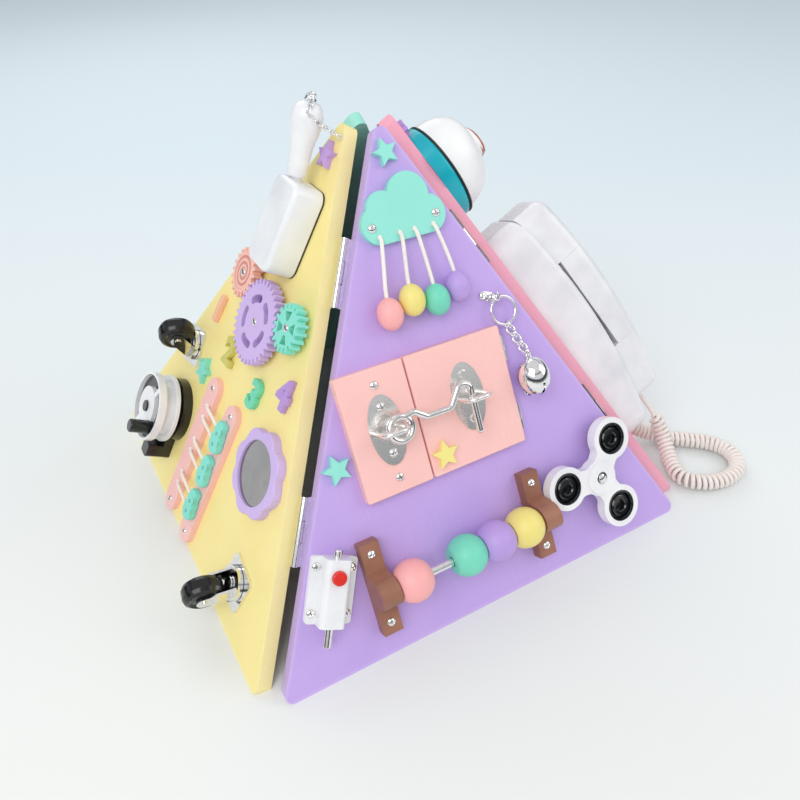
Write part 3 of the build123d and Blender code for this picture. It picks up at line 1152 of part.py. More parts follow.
with BuildPart(PHONE) as phone_keys:
    key_base = KEYPAD_SEAT + KEY_TRAVEL + FREE_GAP
    slab(PHONE, -KEYPAD_WIDE / 2, KEYPAD_WIDE / 2, KEYPAD_SHIFT - KEYPAD_LONG / 2,
         KEYPAD_SHIFT + KEYPAD_LONG / 2, key_base, KEYPAD_HIGH, corner=3)
    with BuildSketch(PHONE.offset(key_base + KEYPAD_HIGH)) as keys:
        with Locations((0, KEYPAD_SHIFT)):
            with GridLocations(KEY_PITCH, KEY_PITCH, 3, 4):
                RectangleRounded(KEY_SIZE, KEY_SIZE, 1.5)
    extrude(keys.sketch, amount=KEY_TOP - key_base - KEYPAD_HIGH)
keep("phone_keys", phone_keys.part)

with BuildPart(PHONE) as handset:
    with BuildSketch(HANDSET_SIDE):
        with BuildLine():
            back = ThreePointArc((-HANDSET_HALF, HANDSET_ARCH[0]), (HANDSET_CROWN, HANDSET_ARCH[1]),
                                 (HANDSET_HALF, HANDSET_ARCH[2]))
            Polyline(back @ 1, (HANDSET_HALF, 0), (-HANDSET_HALF, 0), back @ 0)
        make_face()
    extrude(amount=HANDSET_WIDE / 2, both=True)
    fillet(handset.edges().filter_by(PHONE_NORMAL), HANDSET_CORNER)
    back_face = handset.faces().filter_by(GeomType.CYLINDER).sort_by(SortBy.AREA)[-1]
    fillet(back_face.outer_wire().edges(), HANDSET_EDGE)
    with BuildSketch(PHONE_SIDE):
        with BuildLine():
            under = ThreePointArc(*[(along, height + FREE_GAP) for along, height in
                                    zip((-PHONE_HALF, PHONE_CROWN, PHONE_HALF), PHONE_ARCH)])
            Polyline(under @ 1, (PHONE_HALF, -1), (-PHONE_HALF, -1), under @ 0)
        make_face()
    extrude(amount=PHONE_WIDE, both=True, mode=Mode.SUBTRACT)
    slab(PHONE, -PHONE_WIDE, PHONE_WIDE, *HANDSET_GAP, 0, HANDSET_CLEAR, mode=Mode.SUBTRACT)
    for seam in HANDSET_GAP:
        slab(PHONE, -PHONE_WIDE, PHONE_WIDE, seam - HANDSET_SEAM / 2, seam + HANDSET_SEAM / 2,
             0, 2 * HANDSET_ARCH[1], mode=Mode.SUBTRACT)
keep("handset", handset.part)

cord_out = spot(PHONE, 0, HANDSET_SHIFT - HANDSET_LONG / 2 - FREE_GAP, CORD_OUTLET_HIGH)
cord_in = spot(PHONE, CORD_INLET, -PHONE_LONG / 2 - FREE_GAP, CORD_INLET_HIGH)
with BuildPart() as phone_cord:
    with BuildLine() as cord_line:
        Spline(cord_out, *[Vector(*point) for point in PHONE_CORD_ROUTE], cord_in,
               tangents=(-PHONE.y_dir, PHONE.y_dir))
    with BuildSketch(Plane(origin=cord_line.line @ 0, z_dir=cord_line.line % 0)):
        Circle(PHONE_CORD_RADIUS)
    sweep(path=cord_line.line)
keep("phone_cord", phone_cord.part)

# ---------------------------------------------------------------- one frame, standing on the floor
cords = ("bead_cords", "yellow_cords", "phone_cord")
boxes = [shape.bounding_box() for name, shape in pieces.items() if name not in cords]
middle_x = (min(box.min.X for box in boxes) + max(box.max.X for box in boxes)) / 2
middle_y = (min(box.min.Y for box in boxes) + max(box.max.Y for box in boxes)) / 2

os.makedirs("parts", exist_ok=True)
for name, shape in pieces.items():
    placed = shape.moved(Location((-middle_x, -middle_y, 0)))
    placed.label = name
    export_step(placed, f"parts/{name}.step")
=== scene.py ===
import bmesh
import bpy
from math import atan2, cos, pi, radians, sin
from mathutils import Matrix, Vector


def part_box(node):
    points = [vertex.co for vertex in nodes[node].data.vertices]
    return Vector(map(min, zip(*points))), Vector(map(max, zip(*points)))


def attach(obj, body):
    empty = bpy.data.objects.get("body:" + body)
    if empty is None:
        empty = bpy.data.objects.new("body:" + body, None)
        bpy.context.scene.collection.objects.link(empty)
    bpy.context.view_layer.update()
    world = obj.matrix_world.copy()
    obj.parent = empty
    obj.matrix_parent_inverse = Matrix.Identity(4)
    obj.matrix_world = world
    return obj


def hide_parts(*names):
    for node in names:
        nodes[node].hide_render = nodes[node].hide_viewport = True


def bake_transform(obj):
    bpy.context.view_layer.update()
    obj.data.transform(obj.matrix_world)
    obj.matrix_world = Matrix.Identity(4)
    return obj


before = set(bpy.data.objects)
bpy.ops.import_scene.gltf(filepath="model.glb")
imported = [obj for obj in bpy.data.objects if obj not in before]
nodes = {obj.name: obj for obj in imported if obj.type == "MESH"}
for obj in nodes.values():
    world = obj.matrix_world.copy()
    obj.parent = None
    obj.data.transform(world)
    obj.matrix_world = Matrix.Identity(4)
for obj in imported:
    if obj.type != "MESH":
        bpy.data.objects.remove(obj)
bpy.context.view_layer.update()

# The four boards of the pyramid. They lean at 60 degrees against each other over a square
# plan, so everything screwed to one is placed on that board: across, up the slope and
# outwards in millimetres, from the middle of its bottom edge.
BOARD_LEAN = radians(60)
BOARD_DISTANCE = 0.1621          # from the pyramid's middle to a board's bottom edge
stand_middle = Vector((
    (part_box("pink_panel")[1].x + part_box("yellow_panel")[0].x) / 2,
    (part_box("mint_panel")[1].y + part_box("purple_panel")[0].y) / 2,
    0,
))


def board_place(quarter_turns):
    turn = Matrix.Rotation(radians(90 * quarter_turns), 3, "Z")
    outwards = turn @ Vector((0, -1, 0))
    across = turn @ Vector((1, 0, 0))
    up = Vector((0, 0, sin(BOARD_LEAN))) - outwards * cos(BOARD_LEAN)
    normal = outwards * sin(BOARD_LEAN) + Vector((0, 0, cos(BOARD_LEAN)))
    place = Matrix((across, up, normal)).transposed().to_4x4()
    place.translation = stand_middle + outwards * BOARD_DISTANCE
    return place @ Matrix.Scale(0.001, 4)


purple_side, pink_side, mint_side, yellow_side = (board_place(turns) for turns in range(4))


def on_board(place, u, v, height=0.0, turn=0.0):
    return place @ Matrix.Translation((u, v, height)) @ Matrix.Rotation(radians(turn), 4, "Z")


# The camera stands in front of the corner between the yellow and the purple board and
# looks down on the toy at about 38 degrees, a little rolled, with a normal lens.
camera_data = bpy.data.cameras.new("camera")
camera = bpy.data.objects.new("camera", camera_data)
bpy.context.scene.collection.objects.link(camera)
bpy.context.scene.camera = camera
camera_data.sensor_width = 36
camera_data.lens = 32.463
look = Vector((0.37696, 0.69175, -0.61594)).normalized()
right = Vector((0.87025, -0.49219, -0.02016)).normalized()
above = right.cross(look).normalized()
right = look.cross(above)
camera.matrix_world = Matrix((right, above, -look)).transposed().to_4x4()
camera.location = stand_middle + Vector((-0.19035, -0.38057, 0.38181))

# The floor is a wide matt sheet in a pale blue grey that runs to cream at the near side.
# It carries the soft shadow of the toy and nothing else.
def colour(code):
    channels = [int(code[i:i + 2], 16) / 255 for i in (0, 2, 4)]
    linear = [c / 12.92 if c <= 0.04045 else ((c + 0.055) / 1.055) ** 2.4 for c in channels]
    return (*linear, 1.0)


def node(tree, kind, values=None, links=None, **settings):
    made = tree.nodes.new("ShaderNode" + kind)
    for key, value in settings.items():
        setattr(made, key, value)
    for key, value in (values or {}).items():
        made.inputs[key].default_value = value
    for key, socket in (links or {}).items():
        tree.links.new(socket, made.inputs[key])
    return made


def mixed(tree, share, here, there):
    """here where the share is 0 and there where it is 1; each is a colour code or a socket."""
    values = {}
    links = {0: share}
    for place, side in ((6, here), (7, there)):
        if isinstance(side, str):
            values[place] = colour(side)
        else:
            links[place] = side
    return node(tree, "Mix", values, links, data_type="RGBA").outputs[2]


def ranged(tree, value, low, high, to_low=0.0, to_high=1.0):
    """A value's place between two limits, carried over to two others and held within them."""
    limits = {"From Min": low, "From Max": high, "To Min": to_low, "To Max": to_high}
    return node(tree, "MapRange", limits, {"Value": value}).outputs["Result"]


def noise(tree, vector, scale, detail, **values):
    inputs = {"Scale": scale, "Detail": detail, **{key.capitalize(): value for key, value in values.items()}}
    return node(tree, "TexNoise", inputs, {"Vector": vector}).outputs["Fac"]


def new_finish(name, **values):
    finish = bpy.data.materials.new(name)
    finish.use_nodes = True
    shader = finish.node_tree.nodes["Principled BSDF"]
    for key, value in values.items():
        shader.inputs[key.replace("_", " ")].default_value = value
    return finish, finish.node_tree, shader


FLOOR_HALF = 4.0
floor_shape = bmesh.new()
bmesh.ops.create_grid(floor_shape, x_segments=1, y_segments=1, size=FLOOR_HALF)
floor_mesh = bpy.data.meshes.new("floor")
floor_shape.to_mesh(floor_mesh)
floor_shape.free()
floor = bpy.data.objects.new("floor", floor_mesh)
bpy.context.scene.collection.objects.link(floor)
floor_finish, tree, shader = new_finish("floor_sheet", Roughness=0.7)
coords = node(tree, "TexCoord").outputs["Object"]
run = node(tree, "VectorMath", {1: (0.55, 0.84, 0.0)}, {0: coords}, operation="DOT_PRODUCT")
tint = mixed(tree, ranged(tree, run.outputs["Value"], -0.5, 0.7), "EDEBE6", "DCE8EE")
tree.links.new(tint, shader.inputs["Base Color"])
floor_mesh.materials.append(floor_finish)

# Studio light: a pale room all round with dark bands between its lit walls, which only
# polished metal and glass show. One large soft lamp stands high on the left, a weaker one on
# the right and one behind, so that the shadows stay soft.
room = bpy.data.worlds.new("room")
bpy.context.scene.world = room
room.use_nodes = True
sky = room.node_tree
facing = node(sky, "SeparateXYZ", None, {0: node(sky, "TexCoord").outputs["Generated"]}).outputs["Z"]
wall = node(sky, "ValToRGB", None, {0: facing})
for place, tone in ((0.0, "F0F2F5"), (0.06, "5A5E66"), (0.2, "3A3D44"), (0.3, "F6F8FB"), (0.55, "FFFFFF"),
                    (0.62, "7A7F88"), (0.72, "FFFFFF")):
    stop = wall.color_ramp.elements.new(place)
    stop.color = colour(tone)
seen = node(sky, "LightPath").outputs
backdrop = mixed(sky, seen["Is Glossy Ray"], "F4F7FA", wall.outputs["Color"])
sky.links.new(backdrop, sky.nodes["Background"].inputs["Color"])
sky.nodes["Background"].inputs["Strength"].default_value = 0.72
LAMPS = {"lamp_left": ((-1.1, -0.9, 1.5), 1.3, 16.0), "lamp_right": ((1.3, -0.8, 1.1), 1.1, 5.5),
         "lamp_back": ((0.2, 1.4, 1.3), 1.2, 6.0)}
for name, (spot, size, power) in LAMPS.items():
    lamp_data = bpy.data.lights.new(name, "AREA")
    lamp_data.size = size
    lamp_data.energy = power
    lamp = bpy.data.objects.new(name, lamp_data)
    lamp.location = spot
    lamp.rotation_euler = (Vector((0, 0, 0.12)) - Vector(spot)).to_track_quat("-Z", "Y").to_euler()
    bpy.context.scene.collection.objects.link(lamp)
bpy.context.scene.view_settings.view_transform = "Standard"

# Cords of the four hanging beads: white braided cord, knotted above the holes of the mint
# cloud and run straight down into each bead, where they are glued.
cord_finish, tree, shader = new_finish("white_braid", Roughness=0.85, Sheen_Weight=0.3)
coords = node(tree, "TexCoord").outputs["Object"]
braid = node(tree, "TexWave", {"Scale": 240.0, "Distortion": 3.0, "Detail": 2.0}, {"Vector": coords},
             bands_direction="DIAGONAL")
tint = mixed(tree, noise(tree, coords, 90.0, 3.0), "FBF7F0", "EBE2D6")
lift = node(tree, "Bump", {"Strength": 0.5, "Distance": 0.0003}, {"Height": braid.outputs["Fac"]})
tree.links.new(tint, shader.inputs["Base Color"])
tree.links.new(lift.outputs["Normal"], shader.inputs["Normal"])

HANGING_BEADS = {"pink": (-27.4, 192.5), "yellow": (-11.9, 196.5), "green": (3.6, 192.6),
                 "purple": (19.1, 196.3)}
CLOUD_HOLES = ((-19.5, 234.5), (-6.5, 234.5), (3.0, 234.5), (15.5, 234.5))
BEAD_HALF = 9.4                  # from the bead's middle to its upper end
BEAD_HIGH = 8.0                  # middle of the bead above the board
CORD_RADIUS = 1.15
KNOT_RADIUS = 1.5


def cord_line(name, points, place):
    """A smooth line with these points as its control points, as a curve without thickness."""
    line = bpy.data.curves.new(name, "CURVE")
    line.dimensions = "3D"
    spline = line.splines.new("NURBS")
    spline.points.add(len(points) - 1)
    for slot, point in zip(spline.points, points):
        slot.co = (*(place @ Vector(point)), 1.0)
    spline.order_u = 3
    spline.use_endpoint_u = True
    spline.resolution_u = 12
    return line


def line_points(line):
    """The points along a curve, read from it as a mesh."""
    holder = bpy.data.objects.new("line_holder", line)
    traced = bpy.data.meshes.new_from_object(holder)
    bpy.data.objects.remove(holder)
    return [vertex.co.copy() for vertex in traced.vertices]


def tube_along(shape, points, radius, sides=10):
    """A tube of rings along these points, closed at both ends."""
    ring = None
    for index, point in enumerate(points):
        ahead = points[min(index + 1, len(points) - 1)] - points[max(index - 1, 0)]
        made = bmesh.ops.create_circle(shape, segments=sides, radius=radius)["verts"]
        turn = ahead.to_track_quat("Z", "Y").to_matrix().to_4x4()
        bmesh.ops.transform(shape, matrix=Matrix.Translation(point) @ turn, verts=made)
        edges = list({edge for vert in made for edge in vert.link_edges})
        if ring:
            bmesh.ops.bridge_loops(shape, edges=ring + edges)
        else:
            bmesh.ops.contextual_create(shape, geom=edges)
        ring = edges
    bmesh.ops.contextual_create(shape, geom=ring)
    bmesh.ops.recalc_face_normals(shape, faces=shape.faces)


def add_piece(name, shape, finish, sharp=35):
    """An object made of this shape, smooth but for edges sharper than an angle in degrees."""
    mesh = bpy.data.meshes.new(name)
    shape.to_mesh(mesh)
    shape.free()
    for face in mesh.polygons:
        face.use_smooth = True
    mesh.set_sharp_from_angle(angle=radians(sharp))
    mesh.materials.append(finish)
    piece = bpy.data.objects.new(name, mesh)
    bpy.context.scene.collection.objects.link(piece)
    return piece


def add_knot(shape, place, point, radius=KNOT_RADIUS):
    """An overhand knot: a lumpy ball with a turn of cord round it."""
    ball = bmesh.ops.create_uvsphere(shape, u_segments=12, v_segments=8, radius=radius * 0.001)["verts"]
    for vert in ball:
        angle = atan2(vert.co.y, vert.co.x)
        vert.co *= 1 + 0.08 * sin(3 * angle + vert.co.z * 2500)
    bmesh.ops.transform(shape, matrix=Matrix.Translation(place @ Vector(point)), verts=ball)


for (name, (u, v)), (hole_u, hole_v) in zip(HANGING_BEADS.items(), CLOUD_HOLES):
    top = (u, v + BEAD_HALF, BEAD_HIGH)
    route = [(hole_u, hole_v, 3.6), (hole_u, hole_v - 0.8, 5.6),
             (hole_u + (u - hole_u) * 0.15, hole_v - 5, 6.4),
             (hole_u + (u - hole_u) * 0.5, (hole_v + top[1]) / 2, 7.4), top, (u, v, BEAD_HIGH)]
    points = line_points(cord_line("bead_cord_line", route, purple_side))
    bead_cord = bmesh.new()
    tube_along(bead_cord, points, CORD_RADIUS * 0.001)
    add_knot(bead_cord, purple_side, (hole_u, hole_v + 0.2, 3.9))
    piece = add_piece("bead_cord_" + name, bead_cord, cord_finish)
    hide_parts("bead_cords")
    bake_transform(piece)

# Curly cord of the play telephone: a round plastic lead wound into a close helix, with a
# straight end pressed into the handset and another into the lower end of the base. It lies
# on the floor in a loop.
PHONE_TURN = -26.565
phone_place = on_board(pink_side, -54.3, 107.5, 0.0, PHONE_TURN)
COIL_RADIUS = 0.0046
COIL_WIRE = 0.0016
COIL_PITCH = 0.0038
COIL_STEPS = 12                  # points in a turn of the helix
COIL_FADE = 0.006                # length over which the coil opens into its straight ends
phone_route = [phone_place @ Vector((0, -72.0, 33.4)), phone_place @ Vector((0, -77.0, 34.0))]
phone_route += [stand_middle + Vector(point) * 0.001 for point in (
    (174.5, -92, 44.5), (181, -99.5, 33), (184.5, -107, 22), (183.5, -115.5, 12.6), (178, -127.5, 7.2),
    (168.8, -145, 6.9), (178.5, -157.5, 6.9), (197, -164.5, 6.9), (215.5, -160.5, 6.9), (225, -145, 6.9),
    (219.5, -129.5, 6.9), (206.5, -118.5, 6.9), (194, -108, 7.2), (183, -97.5, 9), (172, -91, 16))]
phone_route += [phone_place @ Vector((10, -92.5, 10.0)), phone_place @ Vector((10, -86.0, 8.5))]
middle = line_points(cord_line("phone_cord_line", phone_route, Matrix.Identity(4)))
coil_finish, tree, shader = new_finish("cord_plastic", Roughness=0.38)
grime = noise(tree, node(tree, "TexCoord").outputs["Object"], 60.0, 4.0)
tree.links.new(mixed(tree, grime, "FAF3EE", "E6D8D0"), shader.inputs["Base Color"])


def helix_along(points, start, stop):
    """Points of a helix round a line, straight for its first and last stretch."""
    lengths = [0.0]
    for here, ahead in zip(points, points[1:]):
        lengths.append(lengths[-1] + (ahead - here).length)
    total = lengths[-1]
    found = []
    index = 0
    side = None
    step = COIL_PITCH / COIL_STEPS
    for count in range(int(total / step) + 1):
        along = count * step
        while index < len(points) - 2 and lengths[index + 1] < along:
            index += 1
        share = (along - lengths[index]) / max(lengths[index + 1] - lengths[index], 1e-9)
        point = points[index].lerp(points[index + 1], share)
        before = points[index] - points[max(index - 1, 0)]
        here = points[index + 1] - points[index]
        ahead = (before.normalized().lerp(here.normalized(), 0.5 + share / 2)).normalized()
        side = ahead.orthogonal() if side is None else side - ahead * side.dot(ahead)
        side = side.normalized()
        grown = min(1, max(0, (along - start) / COIL_FADE), max(0, (total - stop - along) / COIL_FADE))
        angle = 2 * pi * along / COIL_PITCH
        offset = side * cos(angle) + ahead.cross(side) * sin(angle)
        if grown > 0 or count % (COIL_STEPS // 2) == 0:
            found.append(point + offset * COIL_RADIUS * grown)
    return found


helix = helix_along(middle, 0.030, 0.012)
coil = bpy.data.curves.new("phone_cord_coil", "CURVE")
coil.dimensions = "3D"
turns = coil.splines.new("NURBS")
turns.points.add(len(helix) - 1)
for slot, point in zip(turns.points, helix):
    slot.co = (*point, 1.0)
turns.order_u = 3
turns.use_endpoint_u = True
turns.resolution_u = 1
coil.bevel_depth = COIL_WIRE
coil.bevel_resolution = 2
coil.use_fill_caps = True
coil.materials.append(coil_finish)
coil_curve = bpy.data.objects.new("phone_cord_curve", coil)
bpy.context.scene.collection.objects.link(coil_curve)
bpy.context.view_layer.update()
coil_mesh = bpy.data.meshes.new_from_object(coil_curve.evaluated_get(bpy.context.evaluated_depsgraph_get()))
bpy.data.objects.remove(coil_curve)
coil_mesh.shade_smooth()
phone_cord = bpy.data.objects.new("phone_cord_coil", coil_mesh)
bpy.context.scene.collection.objects.link(phone_cord)
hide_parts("phone_cord")
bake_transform(phone_cord)

# Four triangular boards of birch plywood, 9 mm thick, sprayed in a pastel colour each. The
# lacquer lies over the grain with faint streaks, and is rubbed paler along the edges.
def board_coordinates(tree, place):
    """Object coordinates turned to a board: across, up the slope and outwards, in mm."""
    back = place.inverted()
    coords = node(tree, "TexCoord").outputs["Object"]
    settings = {"Scale": (1000, 1000, 1000), "Rotation": back.to_quaternion().to_euler(),
                "Location": back.translation}
    return node(tree, "Mapping", settings, {"Vector": coords}).outputs["Vector"]


def new_group(name, inputs, outputs):
    group = bpy.data.node_groups.new(name, "ShaderNodeTree")
    for label, kind, value in inputs:
        socket = group.interface.new_socket(label, in_out="INPUT", socket_type="NodeSocket" + kind)
        if value is not None:
            socket.default_value = value
    for label, kind in outputs:
        group.interface.new_socket(label, in_out="OUTPUT", socket_type="NodeSocket" + kind)
    return group, group.nodes.new("NodeGroupInput").outputs, group.nodes.new("NodeGroupOutput").inputs


def place_group(tree, group, values=None, links=None):
    made = tree.nodes.new("ShaderNodeGroup")
    made.node_tree = group
    for key, value in (values or {}).items():
        made.inputs[key].default_value = value
    for key, socket in (links or {}).items():
        tree.links.new(socket, made.inputs[key])
    return made.outputs


def calc(tree, operation, *values, **settings):
    """The result of a sum; each of its values is a number or a socket."""
    numbers = {index: value for index, value in enumerate(values) if isinstance(value, (int, float))}
    sockets = {index: value for index, value in enumerate(values) if index not in numbers}
    return node(tree, "Math", numbers, sockets, operation=operation, **settings).outputs[0]


def along_grain(tree, vector, share):
    """The vector with its run up the slope drawn out, so that noise comes out as streaks."""
    stretch = node(tree, "CombineXYZ", {"X": 1.0, "Z": 1.0}, {"Y": share})
    drawn = node(tree, "VectorMath", None, {0: vector, 1: stretch.outputs["Vector"]}, operation="MULTIPLY")
    return drawn.outputs["Vector"]


LOOK = (("Colour", "Color"), ("Roughness", "Float"), ("Height", "Float"))


def close_group(group, result, tint, rough, height):
    for name, socket in (("Colour", tint), ("Roughness", rough), ("Height", height)):
        group.links.new(socket, result[name])


def wear(tree, shader, made, distance, strength, height=None):
    """Give a shader the colour, roughness and fine relief that a group has made."""
    relief = made["Height"] if height is None else height
    lift = node(tree, "Bump", {"Strength": strength, "Distance": distance}, {"Height": relief})
    tree.links.new(made["Colour"], shader.inputs["Base Color"])
    tree.links.new(made["Roughness"], shader.inputs["Roughness"])
    tree.links.new(lift.outputs["Normal"], shader.inputs["Normal"])


lacquer, given, result = new_group("lacquered wood", (
    ("Vector", "Vector", None), ("Colour", "Color", None), ("Streak Colour", "Color", None),
    ("Rubbed Colour", "Color", None), ("Rub", "Float", 0.0), ("Streak Length", "Float", 0.06)), LOOK)
grain = noise(lacquer, along_grain(lacquer, given["Vector"], given["Streak Length"]), 0.9, 5.0, roughness=0.62)
cloudy = noise(lacquer, given["Vector"], 0.025, 3.0)
speck = noise(lacquer, given["Vector"], 0.5, 4.0, roughness=0.7)
streak = ranged(lacquer, grain, 0.42, 0.72, 0.0, 0.5)
mottle = ranged(lacquer, cloudy, 0.35, 0.7, 0.0, 0.55)
base = mixed(lacquer, calc(lacquer, "MAXIMUM", streak, mottle), given["Colour"], given["Streak Colour"])
ragged = ranged(lacquer, speck, 0.3, 0.75, 0.55, 1.35)
rubbed = calc(lacquer, "MULTIPLY", given["Rub"], ragged, use_clamp=True)
worn = mixed(lacquer, rubbed, base, given["Rubbed Colour"])
shine = ranged(lacquer, cloudy, 0.0, 1.0, 0.36, 0.56)
height = calc(lacquer, "ADD", grain, calc(lacquer, "MULTIPLY", speck, 0.5))
close_group(lacquer, result, worn, shine, height)


def lacquer_finish(name, tone, streak_tone, rubbed_tone, place, rub=None, bump=0.00008, length=0.06):
    """Lacquered wood with its streaks up the slope. rub makes the worn mask from the tree."""
    finish, tree, shader = new_finish(name, Coat_Weight=0.15, Coat_Roughness=0.3)
    vector = board_coordinates(tree, place)
    links = {"Vector": vector}
    if rub:
        links["Rub"] = rub(tree, vector)
    tones = {"Colour": colour(tone), "Streak Colour": colour(streak_tone), "Rubbed Colour": colour(rubbed_tone)}
    made = place_group(tree, lacquer, {**tones, "Streak Length": length}, links)
    wear(tree, shader, made, bump, 0.6)
    return finish


BOARD_HALF_WIDTH = 150.0


def near_board_edge(tree, vector):
    """1 at the rim of a triangular board, fading to 0 a few millimetres in."""
    split = node(tree, "SeparateXYZ", None, {0: vector}).outputs
    side = calc(tree, "ABSOLUTE", split["X"])
    slope = calc(tree, "MULTIPLY_ADD", split["Y"], 0.5, side)
    inwards = calc(tree, "SUBTRACT", BOARD_HALF_WIDTH, slope)
    return ranged(tree, calc(tree, "MINIMUM", inwards, split["Y"]), 2.4, 0.2, 0.0, 0.35)


def dress(name, finish):
    """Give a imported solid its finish."""
    nodes[name].data.materials.clear()
    nodes[name].data.materials.append(finish)


BOARD_TONES = {
    "purple": (purple_side, "C6A9E8", "BA9CE0", "DBC8F2"),
    "pink": (pink_side, "F3A4B8", "EE96AC", "F7BCC9"),
    "mint": (mint_side, "9CE5D5", "8DDDCB", "BDEFE4"),
    "yellow": (yellow_side, "FBEA9E", "F6E28C", "FDF2BE"),
}
for name, (place, tone, streak_tone, rubbed_tone) in BOARD_TONES.items():
    paint = lacquer_finish(name + "_lacquer", tone, streak_tone, rubbed_tone, place, near_board_edge)
    dress(name + "_panel", paint)

# Nickel plated steel: corner hinges, door hinges, plates with staples, hook, rail rod, ring,
# chain and casters. Pressed or drawn, then polished, with faint rolling lines, dull spots and
# fingerprints.
plated, given, result = new_group("plated steel", (
    ("Vector", "Vector", None), ("Bright", "Color", None), ("Dull", "Color", None), ("Rolling", "Float", 0.05),
    ("Gloss", "Float", 0.1)), LOOK)
lines = noise(plated, along_grain(plated, given["Vector"], given["Rolling"]), 4.0, 3.0)
smear = ranged(plated, noise(plated, given["Vector"], 0.35, 5.0, roughness=0.65), 0.45, 0.7)
tone = mixed(plated, smear, given["Bright"], given["Dull"])
close_group(plated, result, tone, calc(plated, "MULTIPLY_ADD", smear, 0.07, given["Gloss"]), lines)


def metal_finish(name, bright, dull, gloss, place=None, rolling=0.05, bump=0.00002):
    finish, tree, shader = new_finish(name, Metallic=1.0)
    vector = board_coordinates(tree, place or Matrix.Scale(0.001, 4))
    values = {"Bright": colour(bright), "Dull": colour(dull), "Gloss": gloss, "Rolling": rolling}
    wear(tree, shader, place_group(tree, plated, values, {"Vector": vector}), bump, 0.35)
    return finish


nickel_steel = metal_finish("nickel_steel", "F2F1F0", "DEDDDD", 0.09, bump=0.000004)
rolled_steel = metal_finish("rolled_steel", "FAF9F6", "EFEEEA", 0.24, purple_side, bump=0.000008)
# The hinge leaves of the pink and mint boards get a dark grey steel: painted shade, for the shade these hinges
# lie in.
painted_shade_steel = metal_finish("painted_shade_steel", "8E8F92", "707175", 0.4, bump=0.00001)
for name in ("yellow_hinge_leaves", "purple_hinge_leaves"):
    dress(name, nickel_steel)
for name in ("pink_hinge_leaves", "mint_hinge_leaves"):
    dress(name, painted_shade_steel)

# Mint cloud and stars on the purple board: cut from 4 mm plywood, edges rounded by hand,
# lacquered, the cloud screwed on and the stars glued.
dress("mint_cutouts", lacquer_finish("mint_cutout_lacquer", "96E5D6", "88DCCB", "BDF0E6", purple_side,
                                     length=0.3))

# Four egg-shaped hanging beads of turned beech, dipped in coloured lacquer. The same four
# colours are on the round beads of the rail below.
BEAD_TONES = {"pink": ("FAB2B0", "F5A3A2", "FCC8C4"), "yellow": ("F3E488", "EBD976", "F8EDAB"),
              "green": ("78DABE", "69CFB2", "A2E8D4"), "purple": ("BEA0E1", "B293D9", "D2BDEC")}
bead_lacquers = {}
for name, tones in BEAD_TONES.items():
    bead_lacquers[name] = lacquer_finish("bead_lacquer_" + name, *tones, purple_side, bump=0.00004, length=0.4)
    dress("hanging_bead_" + name, bead_lacquers[name])

# Door of two halves in pale pink, the left one screwed down as the post, the right one on
# two butt hinges, with a small yellow star glued near its corner.
def two_toned(tree, group, vector, mask, here, there, values, second="Streak Colour"):
    """A finish's group with its two colours changed from one pair to the other by a mask."""
    pairs = zip(("Colour", second), here, there)
    tones = {label: mixed(tree, mask, one, other) for label, one, other in pairs}
    return place_group(tree, group, values, {"Vector": vector, **tones})


BLUSH = ("FBC8C2", "F6BBB5")
BLUSH_RUBBED = "FDDAD5"
DOOR_FACE = 6.15                 # just above the door's outer face
dress("door_post", lacquer_finish("blush_lacquer", *BLUSH, BLUSH_RUBBED, purple_side))
blush_star, tree, shader = new_finish("blush_lacquer_and_star")
vector = board_coordinates(tree, purple_side)
raised = node(tree, "SeparateXYZ", None, {0: vector}).outputs["Z"]
is_star = calc(tree, "GREATER_THAN", raised, DOOR_FACE)
made = two_toned(tree, lacquer, vector, is_star, BLUSH, ("F4E88E", "EDDD78"),
                 {"Rubbed Colour": colour(BLUSH_RUBBED)})
wear(tree, shader, made, 0.00008, 0.6)
dress("door_leaf", blush_star)

# Oval plates with a staple each, and the cabin hook that goes from one to the other: steel
# wire and sheet, plated. The right plate is one node with the door's own small hinges.
for name in ("hook_plate", "door_fittings"):
    dress(name, rolled_steel)
dress("cabin_hook", nickel_steel)

# Jingle bell on a split ring and a short chain, pressed from thin steel and nickel plated.
# It hangs from the eye strap beside the door.
bright_nickel = metal_finish("chrome_plating", "F4F4F5", "E4E4E6", 0.04, bump=0.000002)
dress("jingle_bell", bright_nickel)

# Push catch: a case moulded in white plastic and held by four screws, with a sliding steel
# rod and a red button. The plastic shows faint flow marks, pores and hair scratches.
moulding, given, result = new_group("moulded plastic", (
    ("Vector", "Vector", None), ("Colour", "Color", None), ("Shade Colour", "Color", None),
    ("Gloss", "Float", 0.3), ("Scuffs", "Float", 0.5)), LOOK)
flow = noise(moulding, given["Vector"], 0.04, 3.0)
pores = noise(moulding, given["Vector"], 3.0, 2.0)
hairs = node(moulding, "VectorMath", {1: (0.12, 1.6, 0.4)}, {0: given["Vector"]}, operation="MULTIPLY")
scratches = noise(moulding, hairs.outputs["Vector"], 1.2, 4.0, distortion=0.6)
scuffed = calc(moulding, "MULTIPLY", ranged(moulding, scratches, 0.62, 0.72), given["Scuffs"])
tone = mixed(moulding, ranged(moulding, flow, 0.35, 0.7), given["Colour"], given["Shade Colour"])
rough = calc(moulding, "MULTIPLY_ADD", scuffed, 0.2, given["Gloss"])
close_group(moulding, result, tone, rough, calc(moulding, "MULTIPLY_ADD", scuffed, 0.5, pores))


def plastic_finish(name, tone, shade, gloss, place, scuffs=0.5, bump=0.00002, coat=0.0):
    finish, tree, shader = new_finish(name, Coat_Weight=coat, Coat_Roughness=0.08)
    values = {"Colour": colour(tone), "Shade Colour": colour(shade), "Gloss": gloss, "Scuffs": scuffs}
    made = place_group(tree, moulding, values, {"Vector": board_coordinates(tree, place)})
    wear(tree, shader, made, bump, 0.4)
    return finish


